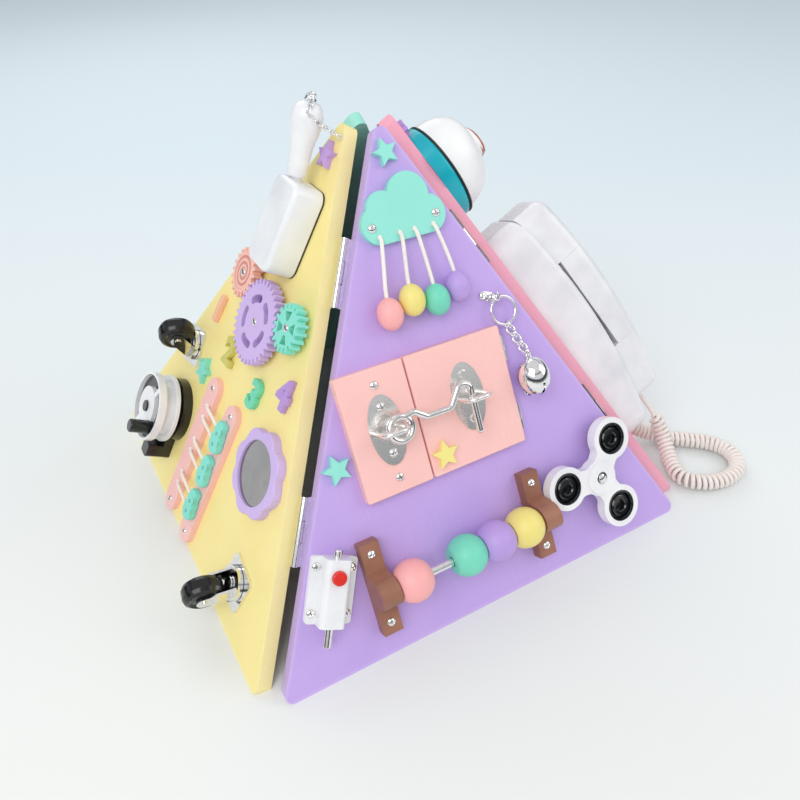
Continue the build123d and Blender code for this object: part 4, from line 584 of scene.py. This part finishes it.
dress("latch_case", plastic_finish("white_plastic", "F2F2F3", "E6E7EA", 0.26, purple_side))
dress("latch_rod", nickel_steel)
dress("latch_button", plastic_finish("red_plastic", "E5362F", "D2281F", 0.2, purple_side, 0.3))

# Bead rail: two moulded brown brackets hold a polished steel rod with four turned beech
# beads that slide and turn on it.
dress("rail_brackets", plastic_finish("bracket_brown", "A2705A", "8F5F4B", 0.42, purple_side, 0.6, 0.00004))
dress("rail_rod", metal_finish("bright_rod", "F4F4F5", "E0E0E2", 0.08, bump=0.000004))
for name in ("pink", "green", "purple", "yellow"):
    dress("rail_bead_" + name, bead_lacquers[name])

# Three-lobed spinner moulded in white plastic round three black weights, each pressed in as
# a ring with a grooved face. It turns on a steel pin through its middle.
SPINNER_ARM = 26.4
WEIGHT_PROFILE = ((0, 8.1), (10.3, 8.1), (10.35, 14.7), (9.9, 15.0), (8.9, 14.9), (8.4, 14.1), (8.0, 12.2),
                  (7.4, 12.2), (7.0, 14.0), (6.2, 14.6), (4.4, 14.5), (3.7, 13.8), (3.3, 11.5), (0, 11.2))
spinner_place = on_board(purple_side, 82.0, 52.5, 0.0, 55.0)
dress("spinner_body", plastic_finish("spinner_white", "F4F3F4", "E8E7EA", 0.2, spinner_place, 0.4, coat=0.3))
weight_black = plastic_finish("weight_black", "0B0C0E", "15161A", 0.1, spinner_place, 0.4, 0.000006, coat=0.6)


def spun(shape, profile, place, steps=48):
    """Turn a line of (radius, height) points round the upright of a place."""
    before = set(shape.verts)
    line = [shape.verts.new((reach, 0, up)) for reach, up in profile]
    edges = [shape.edges.new(pair) for pair in zip(line, line[1:])]
    bmesh.ops.spin(shape, geom=line + edges, cent=(0, 0, 0), axis=(0, 0, 1), angle=2 * pi, steps=steps,
                   use_merge=True)
    made = [vert for vert in shape.verts if vert not in before]
    bmesh.ops.remove_doubles(shape, verts=made, dist=0.0001)
    made = [vert for vert in shape.verts if vert not in before]
    bmesh.ops.recalc_face_normals(shape, faces=list({face for vert in made for face in vert.link_faces}))
    bmesh.ops.transform(shape, matrix=place, verts=made)


weights = bmesh.new()
for arm in range(3):
    turn = Matrix.Rotation(radians(120 * arm), 4, "Z")
    spun(weights, WEIGHT_PROFILE, spinner_place @ turn @ Matrix.Translation((SPINNER_ARM, 0, 0)))
piece = add_piece("spinner_weight_rings", weights, weight_black, 30)
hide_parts("spinner_weights")
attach(piece, "spinner")

# Two stars on the yellow board, a purple one at its tip and a mint one by the upper caster,
# cut from 4 mm plywood, lacquered and glued on.
BETWEEN_STARS = 200.0            # up the slope, with one star below it and one above
star_lacquer, tree, shader = new_finish("star_lacquer")
vector = board_coordinates(tree, yellow_side)
up_slope = node(tree, "SeparateXYZ", None, {0: vector}).outputs["Y"]
is_top = calc(tree, "GREATER_THAN", up_slope, BETWEEN_STARS)
made = two_toned(tree, lacquer, vector, is_top, ("8CE3D2", "7CD8C5"), ("C9A8E6", "BB97DB"),
                 {"Rubbed Colour": colour("D5BDE9"), "Streak Length": 0.3})
wear(tree, shader, made, 0.00006, 0.6)
dress("yellow_cutouts", star_lacquer)

# Four numerals, 1 to 4, cut from 4 mm plywood, lacquered in peach, olive, green and lilac
# and glued on the yellow board.
LILAC = ("BC98DA", "AF88D0", "D3BBE7")
NUMERALS = {
    "1": (-58.3, 145.0, -6.0, ("F9C3A5", "F3B593", "FCD8C4")),
    "2": (-21.8, 131.2, 4.0, ("D3CC6C", "C7BF5B", "E3DE97")),
    "3": (27.2, 127.3, -3.0, ("73D9B4", "63CDA6", "A2E8D0")),
    "4": (58.0, 146.6, 5.0, LILAC),
}
for numeral, (u, v, turn, tones) in NUMERALS.items():
    figure = bpy.data.curves.new("numeral_" + numeral, "FONT")
    figure.body = numeral
    figure.size = 25.0
    figure.offset = 0.9
    figure.extrude = 1.6
    figure.bevel_depth = 0.4
    figure.bevel_resolution = 1
    figure.align_x = "CENTER"
    figure.align_y = "CENTER"
    figure.resolution_u = 6
    holder = bpy.data.objects.new("numeral_holder", figure)
    cut = bpy.data.meshes.new_from_object(holder)
    bpy.data.objects.remove(holder)
    shape = bmesh.new()
    shape.from_mesh(cut)
    bmesh.ops.transform(shape, matrix=on_board(yellow_side, u, v, 2.0, turn), verts=shape.verts)
    numeral_finish = lacquer_finish("numeral_lacquer_" + numeral, *tones, yellow_side, length=0.3)
    piece = add_piece("numeral_" + numeral, shape, numeral_finish, 40)
    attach(piece, "yellow_board")

# White socket box with rounded edges, screwed on from behind, and the white plug in its
# upper side. A thin dark strip under the box is painted shade for the gap between box and board.
# The plug's handle is turned, with a wire ring at its end, and a chain of bent steel links runs
# from the ring to the yellow board.
def cut_out(shape, outline, low, high, place, edge=0.0, steps=2):
    """A flat piece with this outline between two heights of a place, its upper rim rounded."""
    before = set(shape.verts)
    bottom = [shape.verts.new((u, v, low)) for u, v in outline]
    top = [shape.verts.new((u, v, high)) for u, v in outline]
    shape.faces.new(bottom[::-1])
    cap = shape.faces.new(top)
    for index in range(len(outline)):
        ahead = (index + 1) % len(outline)
        shape.faces.new((bottom[index], bottom[ahead], top[ahead], top[index]))
    if edge:
        bmesh.ops.bevel(shape, geom=list(cap.edges), offset=edge, offset_type="OFFSET", segments=steps,
                        profile=0.5, affect="EDGES", material=-1)
    made = [vert for vert in shape.verts if vert not in before]
    bmesh.ops.transform(shape, matrix=place, verts=made)


def wire_ring(shape, place, long, wide, wire, steps=24, sides=8):
    """A closed ring of round wire in the plane of a place, long along Y and wide along X."""
    rings = []
    for step in range(steps):
        angle = 2 * pi * step / steps
        middle = Vector((wide * cos(angle), long * sin(angle), 0))
        away = Vector((long * cos(angle), wide * sin(angle), 0)).normalized()
        ring = []
        for side in range(sides):
            lean = 2 * pi * side / sides
            point = middle + away * wire * cos(lean) + Vector((0, 0, wire * sin(lean)))
            ring.append(shape.verts.new(place @ point))
        rings.append(ring)
    for step in range(steps):
        here, ahead = rings[step], rings[(step + 1) % steps]
        for side in range(sides):
            beside = (side + 1) % sides
            shape.faces.new((here[side], ahead[side], ahead[beside], here[beside]))


def rounded_rectangle(width, long, corner, steps=6):
    """Outline of a rectangle with round corners, counter-clockwise."""
    outline = []
    for quarter, (x, y) in enumerate(((1, 1), (-1, 1), (-1, -1), (1, -1))):
        for step in range(steps + 1):
            angle = pi / 2 * (quarter + step / steps)
            across = x * (width / 2 - corner) + corner * cos(angle)
            outline.append((across, y * (long / 2 - corner) + corner * sin(angle)))
    return outline


PLUG_PROFILE = ((0, -12.0), (3.4, -12.0), (3.9, -11.4), (3.9, 1.6), (5.2, 2.0), (5.8, 4.0), (6.0, 10.0),
                (6.3, 17.0), (7.2, 22.5), (8.4, 27.0), (9.2, 31.5), (9.2, 35.5), (8.2, 39.5), (6.0, 42.2),
                (3.0, 43.2), (0, 43.5))
PLUG_RING_UP = 44.6
LINK_PITCH = 0.0024
LINK_STEPS = 14
LINK_SIDES = 6
dress("socket_box", plastic_finish("socket_plastic", "F1F2F4", "E4E6EA", 0.24, yellow_side))
plug_white = plastic_finish("plug_plastic", "F6F5F5", "EAEAED", 0.26, yellow_side)
plug_place = on_board(yellow_side, -5.0, 255.0, 12.0) @ Matrix.Rotation(radians(-78), 4, "X")
plug_shape = bmesh.new()
spun(plug_shape, PLUG_PROFILE, plug_place)
piece = add_piece("plug_body", plug_shape, plug_white, 50)
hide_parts("plug")
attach(piece, "plug")
plug_ring = bmesh.new()
upright = Matrix.Translation((0, 0, PLUG_RING_UP)) @ Matrix.Rotation(radians(90), 4, "Y")
wire_ring(plug_ring, plug_place @ upright, 3.0, 3.0, 0.7)
piece = add_piece("plug_ring", plug_ring, bright_nickel)
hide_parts("plug")
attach(piece, "plug")
# A thin dark brown strip under the box: painted shade for the gap between box and board.
socket_shade_strip = bmesh.new()
cut_out(socket_shade_strip, rounded_rectangle(30.2, 54.6, 7.1), 0.0, 1.1, on_board(yellow_side, 0.0, 227.8))
painted_gap_shade = plastic_finish("painted_gap_shade", "4A4230", "3A3324", 0.6, yellow_side)
piece = add_piece("socket_box_shade_strip", socket_shade_strip, painted_gap_shade, 40)
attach(piece, "yellow_board")
chain_route = [plug_place @ Vector(point) for point in (
    (0, 0, 46.2), (4.0, -1.5, 46.8), (7.5, -3.0, 42.0), (8.5, -5.0, 36.0))]
chain_route.append(yellow_side @ Vector((6.0, 287.0, 1.8)))
chain_points = line_points(cord_line("plug_chain_line", chain_route, Matrix.Identity(4)))
chain = bmesh.new()
walked = 0.0
link_count = 0
for here, ahead in zip(chain_points, chain_points[1:]):
    step_long = (ahead - here).length
    turn = (ahead - here).to_track_quat("Y", "Z").to_matrix().to_4x4()
    while walked <= step_long:
        roll = Matrix.Rotation(radians(90 * (link_count % 2)), 4, "Y")
        link_place = Matrix.Translation(here.lerp(ahead, walked / step_long)) @ turn @ roll
        wire_ring(chain, link_place @ Matrix.Scale(0.001, 4), 1.75, 1.15, 0.42, LINK_STEPS, LINK_SIDES)
        walked += LINK_PITCH
        link_count += 1
    walked -= step_long
piece = add_piece("plug_chain_links", chain, bright_nickel)
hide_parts("yellow_cords")
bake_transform(piece)

# Three meshed gears cut from lacquered board, turning on low steel pivots. The big one has
# five slots over a dark lilac disc of painted shade, the pink one a spiral groove, the mint one spokes.
def reach_from(tree, vector, middle=(0, 0, 0), across=(1, 1, 0)):
    """Distance of a point from an axis through a middle, counted across it, in mm."""
    away = node(tree, "VectorMath", {1: middle}, {0: vector}, operation="SUBTRACT")
    flat = node(tree, "VectorMath", {1: across}, {0: away.outputs["Vector"]}, operation="MULTIPLY")
    return node(tree, "VectorMath", None, {0: flat.outputs["Vector"]}, operation="LENGTH").outputs["Value"]


GEAR_MIDDLES = {"purple": (5.5, 167.0), "pink": (-31.48, 184.24), "mint": (41.94, 181.72)}
SPIRAL_TURNS = 0.26              # turns of the groove in a millimetre of radius
SPIRAL_MIDDLE = 0.3              # where the groove lies in its turn
SPIRAL_REACH = 11.2
SPIRAL_DEEP = -6.0               # against the relief of the grain
# A thin dark lilac disc under the big gear: painted shade, seen through its five slots.
slot_floor = bmesh.new()
spun(slot_floor, ((0, 3.4), (20.0, 3.4), (20.0, 3.05), (0, 3.05)),
     on_board(yellow_side, *GEAR_MIDDLES["purple"]))
painted_slot_shade = lacquer_finish("painted_slot_shade", "7E6688", "6E5878", "8E7698", yellow_side)
piece = add_piece("gear_slot_floor", slot_floor, painted_slot_shade, 40)
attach(piece, "gear_purple")
dress("gear_purple", lacquer_finish("gear_purple_lacquer", "D2B9EB", "C7ABE3", "E0CFF2", yellow_side,
                                    length=0.5))
dress("gear_mint", lacquer_finish("gear_mint_lacquer", "8BE6D3", "7BDBC7", "B0F0E3", yellow_side, length=0.5))
spiral, tree, shader = new_finish("gear_pink_lacquer")
vector = board_coordinates(tree, on_board(yellow_side, *GEAR_MIDDLES["pink"]))
split = node(tree, "SeparateXYZ", None, {0: vector}).outputs
reach = reach_from(tree, vector)
bearing = calc(tree, "MULTIPLY", calc(tree, "ARCTAN2", split["Y"], split["X"]), 1 / (2 * pi))
wound = calc(tree, "FRACT", calc(tree, "SUBTRACT", calc(tree, "MULTIPLY", reach, SPIRAL_TURNS), bearing))
off_middle = calc(tree, "ABSOLUTE", calc(tree, "SUBTRACT", wound, SPIRAL_MIDDLE))
inside = calc(tree, "LESS_THAN", reach, SPIRAL_REACH)
groove = calc(tree, "MULTIPLY", ranged(tree, off_middle, 0.26, 0.2), inside)
made = two_toned(tree, lacquer, vector, groove, ("F8C3B4", "F3B5A5"), ("D98F84", "CE8278"),
                 {"Rubbed Colour": colour("FBDACF"), "Streak Length": 0.5})
wear(tree, shader, made, 0.00012, 0.6, calc(tree, "MULTIPLY_ADD", groove, SPIRAL_DEEP, made["Height"]))
dress("gear_pink", spiral)

# Two swivel casters: a polished steel plate and fork, and a glossy black wheel with a dark
# grey hub. The plates are screwed to the yellow board.
for name in ("caster_plates", "caster_fork_upper", "caster_fork_lower"):
    dress(name, nickel_steel)
CASTERS = {"upper": (-77.0, 107.0, 63.0), "lower": (88.6, 32.0, -108.0)}
CASTER_TRAIL = 9.5
CASTER_AXLE_HIGH = 18.8
CASTER_HUB = 7.6
for name, (u, v, way) in CASTERS.items():
    axle = on_board(yellow_side, u, v, 0, way) @ Matrix.Translation((CASTER_TRAIL, 0, CASTER_AXLE_HIGH))
    tyre, tree, shader = new_finish("tyre_" + name)
    vector = board_coordinates(tree, axle)
    is_tyre = calc(tree, "GREATER_THAN", reach_from(tree, vector, across=(1, 0, 1)), CASTER_HUB)
    made = two_toned(tree, moulding, vector, is_tyre, ("2A2B2F", "35363A"), ("0C0D0F", "16171A"),
                     {"Gloss": 0.14, "Scuffs": 0.7}, "Shade Colour")
    wear(tree, shader, made, 0.00005, 0.5)
    dress("caster_wheel_" + name, tyre)

# Winding reel: a black plastic base disc with a tapered foot, and on it a white spool with a
# thin rim, a black sunk face, a white hub with a spoke, and a black crank knob.
def between(tree, value, low, high):
    """1 where a value lies between two limits, 0 outside them."""
    return calc(tree, "MULTIPLY", calc(tree, "GREATER_THAN", value, low), calc(tree, "LESS_THAN", value, high))


KNOB_MIDDLE = (13.5, -9.5, 0)
KNOB_REACH = 5.1
SPOOL_FACE = 22.2                # above the board
DISH = (14.6, 22.95)             # inner and outer radius of the sunk face
DISH_FLOOR = (21.4, 22.1)
dress("reel_frame", plastic_finish("reel_black", "121315", "1B1C1F", 0.22, yellow_side, 0.8, coat=0.3))
reel_tones, tree, shader = new_finish("reel_spool_white_and_black", Coat_Weight=0.3, Coat_Roughness=0.1)
vector = board_coordinates(tree, on_board(yellow_side, -66.0, 58.0))
raised = node(tree, "SeparateXYZ", None, {0: vector}).outputs["Z"]
near_knob = calc(tree, "LESS_THAN", reach_from(tree, vector, KNOB_MIDDLE), KNOB_REACH)
is_knob = calc(tree, "MULTIPLY", near_knob, calc(tree, "GREATER_THAN", raised, SPOOL_FACE))
in_dish = between(tree, reach_from(tree, vector), *DISH)
is_dish = calc(tree, "MULTIPLY", in_dish, between(tree, raised, *DISH_FLOOR))
made = two_toned(tree, moulding, vector, calc(tree, "MAXIMUM", is_knob, is_dish), ("F4F4F5", "E4E4E7"),
                 ("131417", "1D1E22"), {"Gloss": 0.2, "Scuffs": 0.5}, "Shade Colour")
wear(tree, shader, made, 0.00002, 0.4)
dress("reel_spool", reel_tones)

# Two pink bars with three mint toggles, all cut from lacquered board. Each toggle hangs on
# two short white cords, knotted in slits of the left bar and threaded into the toggle.
TOGGLES = {"toggle_top": 86.5, "toggle_middle": 59.5, "toggle_bottom": 32.0}
TOGGLE_ACROSS = 13.8
TOGGLE_HALF = ((0, -11.3), (3.0, -10.7), (5.2, -9.0), (6.4, -6.4), (6.4, -3.6), (5.5, -1.6), (5.7, 0.2),
               (5.3, 2.4), (4.1, 4.2), (3.9, 6.4), (4.4, 8.4), (4.2, 10.4), (3.2, 11.3))
HOLE_PROFILE = ((0, 9.0), (0.75, 9.05), (0.95, 9.2), (1.15, 9.16), (1.2, 9.0), (0, 8.9))
TOGGLE_CORD_RADIUS = 0.00105
dress("toggle_bars", lacquer_finish("toggle_bar_lacquer", "FAC6C1", "F5B7B2", "FDDAD5", yellow_side,
                                    length=0.15))
toggle_lacquer = lacquer_finish("toggle_lacquer", "86E3D2", "76D9C6", "AEEFE3", yellow_side, length=0.4)
hole_dark = plastic_finish("hole_shadow", "1F4A42", "173A34", 0.7, yellow_side)
toggle_outline = list(TOGGLE_HALF) + [(-u, v) for u, v in TOGGLE_HALF[:0:-1]]
for name, v_middle in TOGGLES.items():
    toggle = bmesh.new()
    cut_out(toggle, toggle_outline, 4.6, 9.1, on_board(yellow_side, TOGGLE_ACROSS, v_middle), 1.1, 3)
    piece = add_piece(name + "_pear", toggle, toggle_lacquer, 50)
    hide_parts(name)
    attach(piece, name)
    eyelets = bmesh.new()
    for end in (-1, 1):
        spun(eyelets, HOLE_PROFILE, on_board(yellow_side, TOGGLE_ACROSS, v_middle + 4.0 * end - 1.0), 16)
    piece = add_piece(name + "_holes", eyelets, hole_dark, 60)
    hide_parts(name)
    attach(piece, name)
    for side, end in (("low", -1), ("high", 1)):
        v = v_middle + end * 4.5
        route = [(-19.0, v, 3.6), (-16.5, v, 6.3), (-9.0, v + 1.0, 7.4), (0.0, v + 0.8, 7.6), (8.5, v, 7.0),
                 (13.0, v, 6.9)]
        points = line_points(cord_line("toggle_cord_line", route, yellow_side))
        toggle_cord = bmesh.new()
        tube_along(toggle_cord, points, TOGGLE_CORD_RADIUS)
        add_knot(toggle_cord, yellow_side, (-19.0, v, 4.9), 1.4)
        piece = add_piece(name + "_cord_" + side, toggle_cord, cord_finish)
        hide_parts("yellow_cords")
        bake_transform(piece)

# Round safety mirror of silvered plastic, set in a purple flower frame of lacquered board
# that is glued on the yellow board. Small hands have smudged it.
dress("mirror_frame", lacquer_finish("mirror_frame_lacquer", "D0B8E9", "C4A9E2", "E2D3F2", yellow_side,
                                     length=0.4))
mirror_glass, tree, shader = new_finish("mirror_glass", Metallic=1.0)
smudge = noise(tree, node(tree, "TexCoord").outputs["Object"], 70.0, 4.0, distortion=1.0)
tree.links.new(mixed(tree, smudge, "B4B0B0", "9B9798"), shader.inputs["Base Color"])
tree.links.new(ranged(tree, smudge, 0.45, 0.75, 0.01, 0.07), shader.inputs["Roughness"])
dress("mirror_glass", mirror_glass)

# Oval push lamp on the pink board: teal base and white dome of moulded plastic with a black
# rubber line between them, and a brown ring round its red button.
BEZEL_PROFILE = ((5.6, 37.2), (6.0, 39.4), (6.8, 40.2), (8.6, 40.3), (9.8, 39.6), (10.3, 38.2), (10.6, 37.0),
                 (5.6, 37.2))
lamp_place = on_board(pink_side, 0.0, 241.0)
dress("lamp_base", plastic_finish("teal_plastic", "0FB2C0", "0AA3B3", 0.22, lamp_place, 0.3))
dress("lamp_dome", plastic_finish("lamp_white", "F4F4F3", "E9E9EA", 0.28, lamp_place, 0.3))
dress("lamp_button", plastic_finish("lamp_red", "E5362F", "D2281F", 0.2, lamp_place, 0.3))
gasket = bmesh.new()
wire_ring(gasket, lamp_place @ Matrix.Translation((0, 0, 10.6)), 32.6, 26.1, 0.9, 64)
gasket_black = plastic_finish("gasket_black", "16171A", "202124", 0.5, lamp_place, 0.3)
piece = add_piece("lamp_gasket", gasket, gasket_black, 40)
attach(piece, "pink_board")
bezel = bmesh.new()
spun(bezel, BEZEL_PROFILE, lamp_place)
ring_brown = plastic_finish("ring_brown", "B5562F", "9C4727", 0.15, lamp_place, 0.3, coat=0.5)
piece = add_piece("lamp_button_ring", bezel, ring_brown, 40)
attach(piece, "pink_board")

# Pan-head screws with a cross recess, the spinner's pin and the eye strap on the purple
# board: turned or pressed steel, nickel plated, each screw driven to its own stop.
HEAD_PROFILE = ((0, 0.47), (0.3, 0.46), (0.55, 0.4), (0.8, 0.27), (0.96, 0.1), (1.0, -0.02), (1.0, -0.1),
                (0, -0.1))
PIN_PROFILE = ((0, 17.6), (1.6, 17.3), (2.5, 17.0), (2.8, 16.6), (3.9, 16.5), (4.0, 16.4), (4.0, 7.6),
               (6.3, 7.5), (6.3, 0), (0, 0))
EYE_PROFILE = ((0, 4.0), (1.4, 3.7), (2.5, 2.8), (3.0, 1.6), (3.0, 0.9), (0, 0.9))
STRAP = (37.9, 186.0)
STRAP_TURN = -23.2
EYE = (44.9, 183.0)


def cross_head():
    """A screw head of radius 1 with its cross recess, as a mesh."""
    head = bmesh.new()
    spun(head, HEAD_PROFILE, Matrix.Identity(4), 36)
    cutter = bmesh.new()
    for turn in (0, 90):
        bar = bmesh.ops.create_cube(cutter, size=1)["verts"]
        lie = Matrix.Translation((0, 0, 0.45)) @ Matrix.Rotation(radians(turn), 4, "Z")
        bmesh.ops.transform(cutter, matrix=lie @ Matrix.Diagonal((1.15, 0.25, 0.5, 1)), verts=bar)
    holders = []
    for name, shape in (("head", head), ("cutter", cutter)):
        mesh = bpy.data.meshes.new(name)
        shape.to_mesh(mesh)
        shape.free()
        holders.append(bpy.data.objects.new(name, mesh))
        bpy.context.scene.collection.objects.link(holders[-1])
    cut = holders[0].modifiers.new("cross", "BOOLEAN")
    cut.object = holders[1]
    cut.use_self = True
    bpy.context.view_layer.update()
    made = bpy.data.meshes.new_from_object(holders[0].evaluated_get(bpy.context.evaluated_depsgraph_get()))
    for holder in holders:
        bpy.data.objects.remove(holder)
    return made


CROSS_HEAD = cross_head()


def add_screws(shape, places, radius=2.7):
    """Heads at these places; each is turned its own way."""
    for index, place in enumerate(places):
        before = set(shape.verts)
        shape.from_mesh(CROSS_HEAD)
        made = [vert for vert in shape.verts if vert not in before]
        turn = place @ Matrix.Rotation(radians(37 * index + 11), 4, "Z") @ Matrix.Scale(radius, 4)
        bmesh.ops.transform(shape, matrix=turn, verts=made)


def rounded_bar(left, right, half, steps=8):
    """Outline of a bar with round ends, along X."""
    outline = []
    for middle, turn in ((right, -0.5), (left, 0.5)):
        for step in range(steps + 1):
            angle = pi * (step / steps + turn)
            outline.append((middle + half * cos(angle), half * sin(angle)))
    return outline


latch_place = on_board(purple_side, -105.0, 54.6, 0.0, -24.5)
screw_places = [on_board(purple_side, u, 240.4, 4.0) for u in (-22.5, 19.0)]
screw_places += [on_board(purple_side, -47.7, v, 6.0) for v in (157.0, 101.5)]
screw_places += [on_board(purple_side, -47.8, 130.5 + step, 7.2) for step in (-13.8, 13.8)]
screw_places += [latch_place @ Matrix.Translation((across, along, 3.5))
                 for across in (-10.6, 10.6) for along in (-13.2, 13.2)]
screw_places += [on_board(purple_side, u, 44.5 + step, 8.0) for u in (-78.0, 35.0) for step in (-21.4, 21.4)]
screw_places.append(on_board(purple_side, *STRAP, 1.0))
screws = bmesh.new()
add_screws(screws, screw_places)
spun(screws, PIN_PROFILE, spinner_place)
cut_out(screws, rounded_bar(0.0, 7.6, 2.9), 0.0, 1.0, on_board(purple_side, *STRAP, 0.0, STRAP_TURN), 0.35)
spun(screws, EYE_PROFILE, on_board(purple_side, *EYE), 24)
wire_ring(screws, on_board(purple_side, *EYE, 4.2, -16) @ Matrix.Rotation(radians(90), 4, "Y"), 2.6, 2.6, 0.8)
piece = add_piece("purple_board_screws", screws, nickel_steel, 30)
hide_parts("purple_screws")
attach(piece, "purple_board")

# Small screws of the pink bars and the low pivots of the three gears on the yellow board:
# turned steel, nickel plated.
PIVOT_PROFILE = ((0, 9.8), (1.2, 9.75), (2.1, 9.5), (2.5, 9.1), (2.5, 2.7), (5.2, 2.7), (5.2, 0), (0, 0))
pivots = bmesh.new()
for middle in GEAR_MIDDLES.values():
    spun(pivots, PIVOT_PROFILE, on_board(yellow_side, *middle))
bar_ends = [on_board(yellow_side, u, v, 4.2) for u in (-22.0, 13.6) for v in (9.14, 102.86)]
add_screws(pivots, bar_ends, 2.3)
piece = add_piece("yellow_board_screws", pivots, nickel_steel, 30)
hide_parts("yellow_screws")
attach(piece, "yellow_board")

# Lilac star near the tip of the pink board, cut from 4 mm plywood, lacquered and glued on,
# with a finish of its own streaks.
STAR_POINTS = 5
STAR_RADII = (6.0, 2.9)          # to its tips and to the corners between them
star_outline = []
for corner in range(2 * STAR_POINTS):
    angle = pi / 2 + corner * pi / STAR_POINTS
    star_outline.append((STAR_RADII[corner % 2] * cos(angle), STAR_RADII[corner % 2] * sin(angle)))
tip_star = bmesh.new()
cut_out(tip_star, star_outline, 0.0, 4.0, on_board(pink_side, 0.0, 281.6, 0.0, 8.0), 0.4)
tip_lacquer = lacquer_finish("tip_star_lacquer", *LILAC, pink_side, length=0.3)
piece = add_piece("pink_board_star", tip_star, tip_lacquer, 40)
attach(piece, "pink_board")

# Play telephone on the pink board: base and handset moulded in white plastic and black keys of
# hard plastic. A thin dark strip under the base is painted shade for the recess beneath it.
# A thin near-black strip under the phone base: painted shade for the recess beneath it.
foot_line = bmesh.new()
cut_out(foot_line, rounded_rectangle(55.4, 179.4, 15.7), 0.0, 1.1, phone_place)
painted_foot_shade = plastic_finish("painted_foot_shade", "1B1718", "241F20", 0.6, phone_place)
piece = add_piece("phone_shade_line", foot_line, painted_foot_shade, 40)
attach(piece, "pink_board")
phone_white = plastic_finish("phone_white", "ECEBED", "DEDDE1", 0.26, phone_place, 0.4)
dress("phone_base", phone_white)
dress("handset", phone_white)
dress("phone_keys", plastic_finish("key_black", "060607", "0C0C0E", 0.4, phone_place, 0.8))
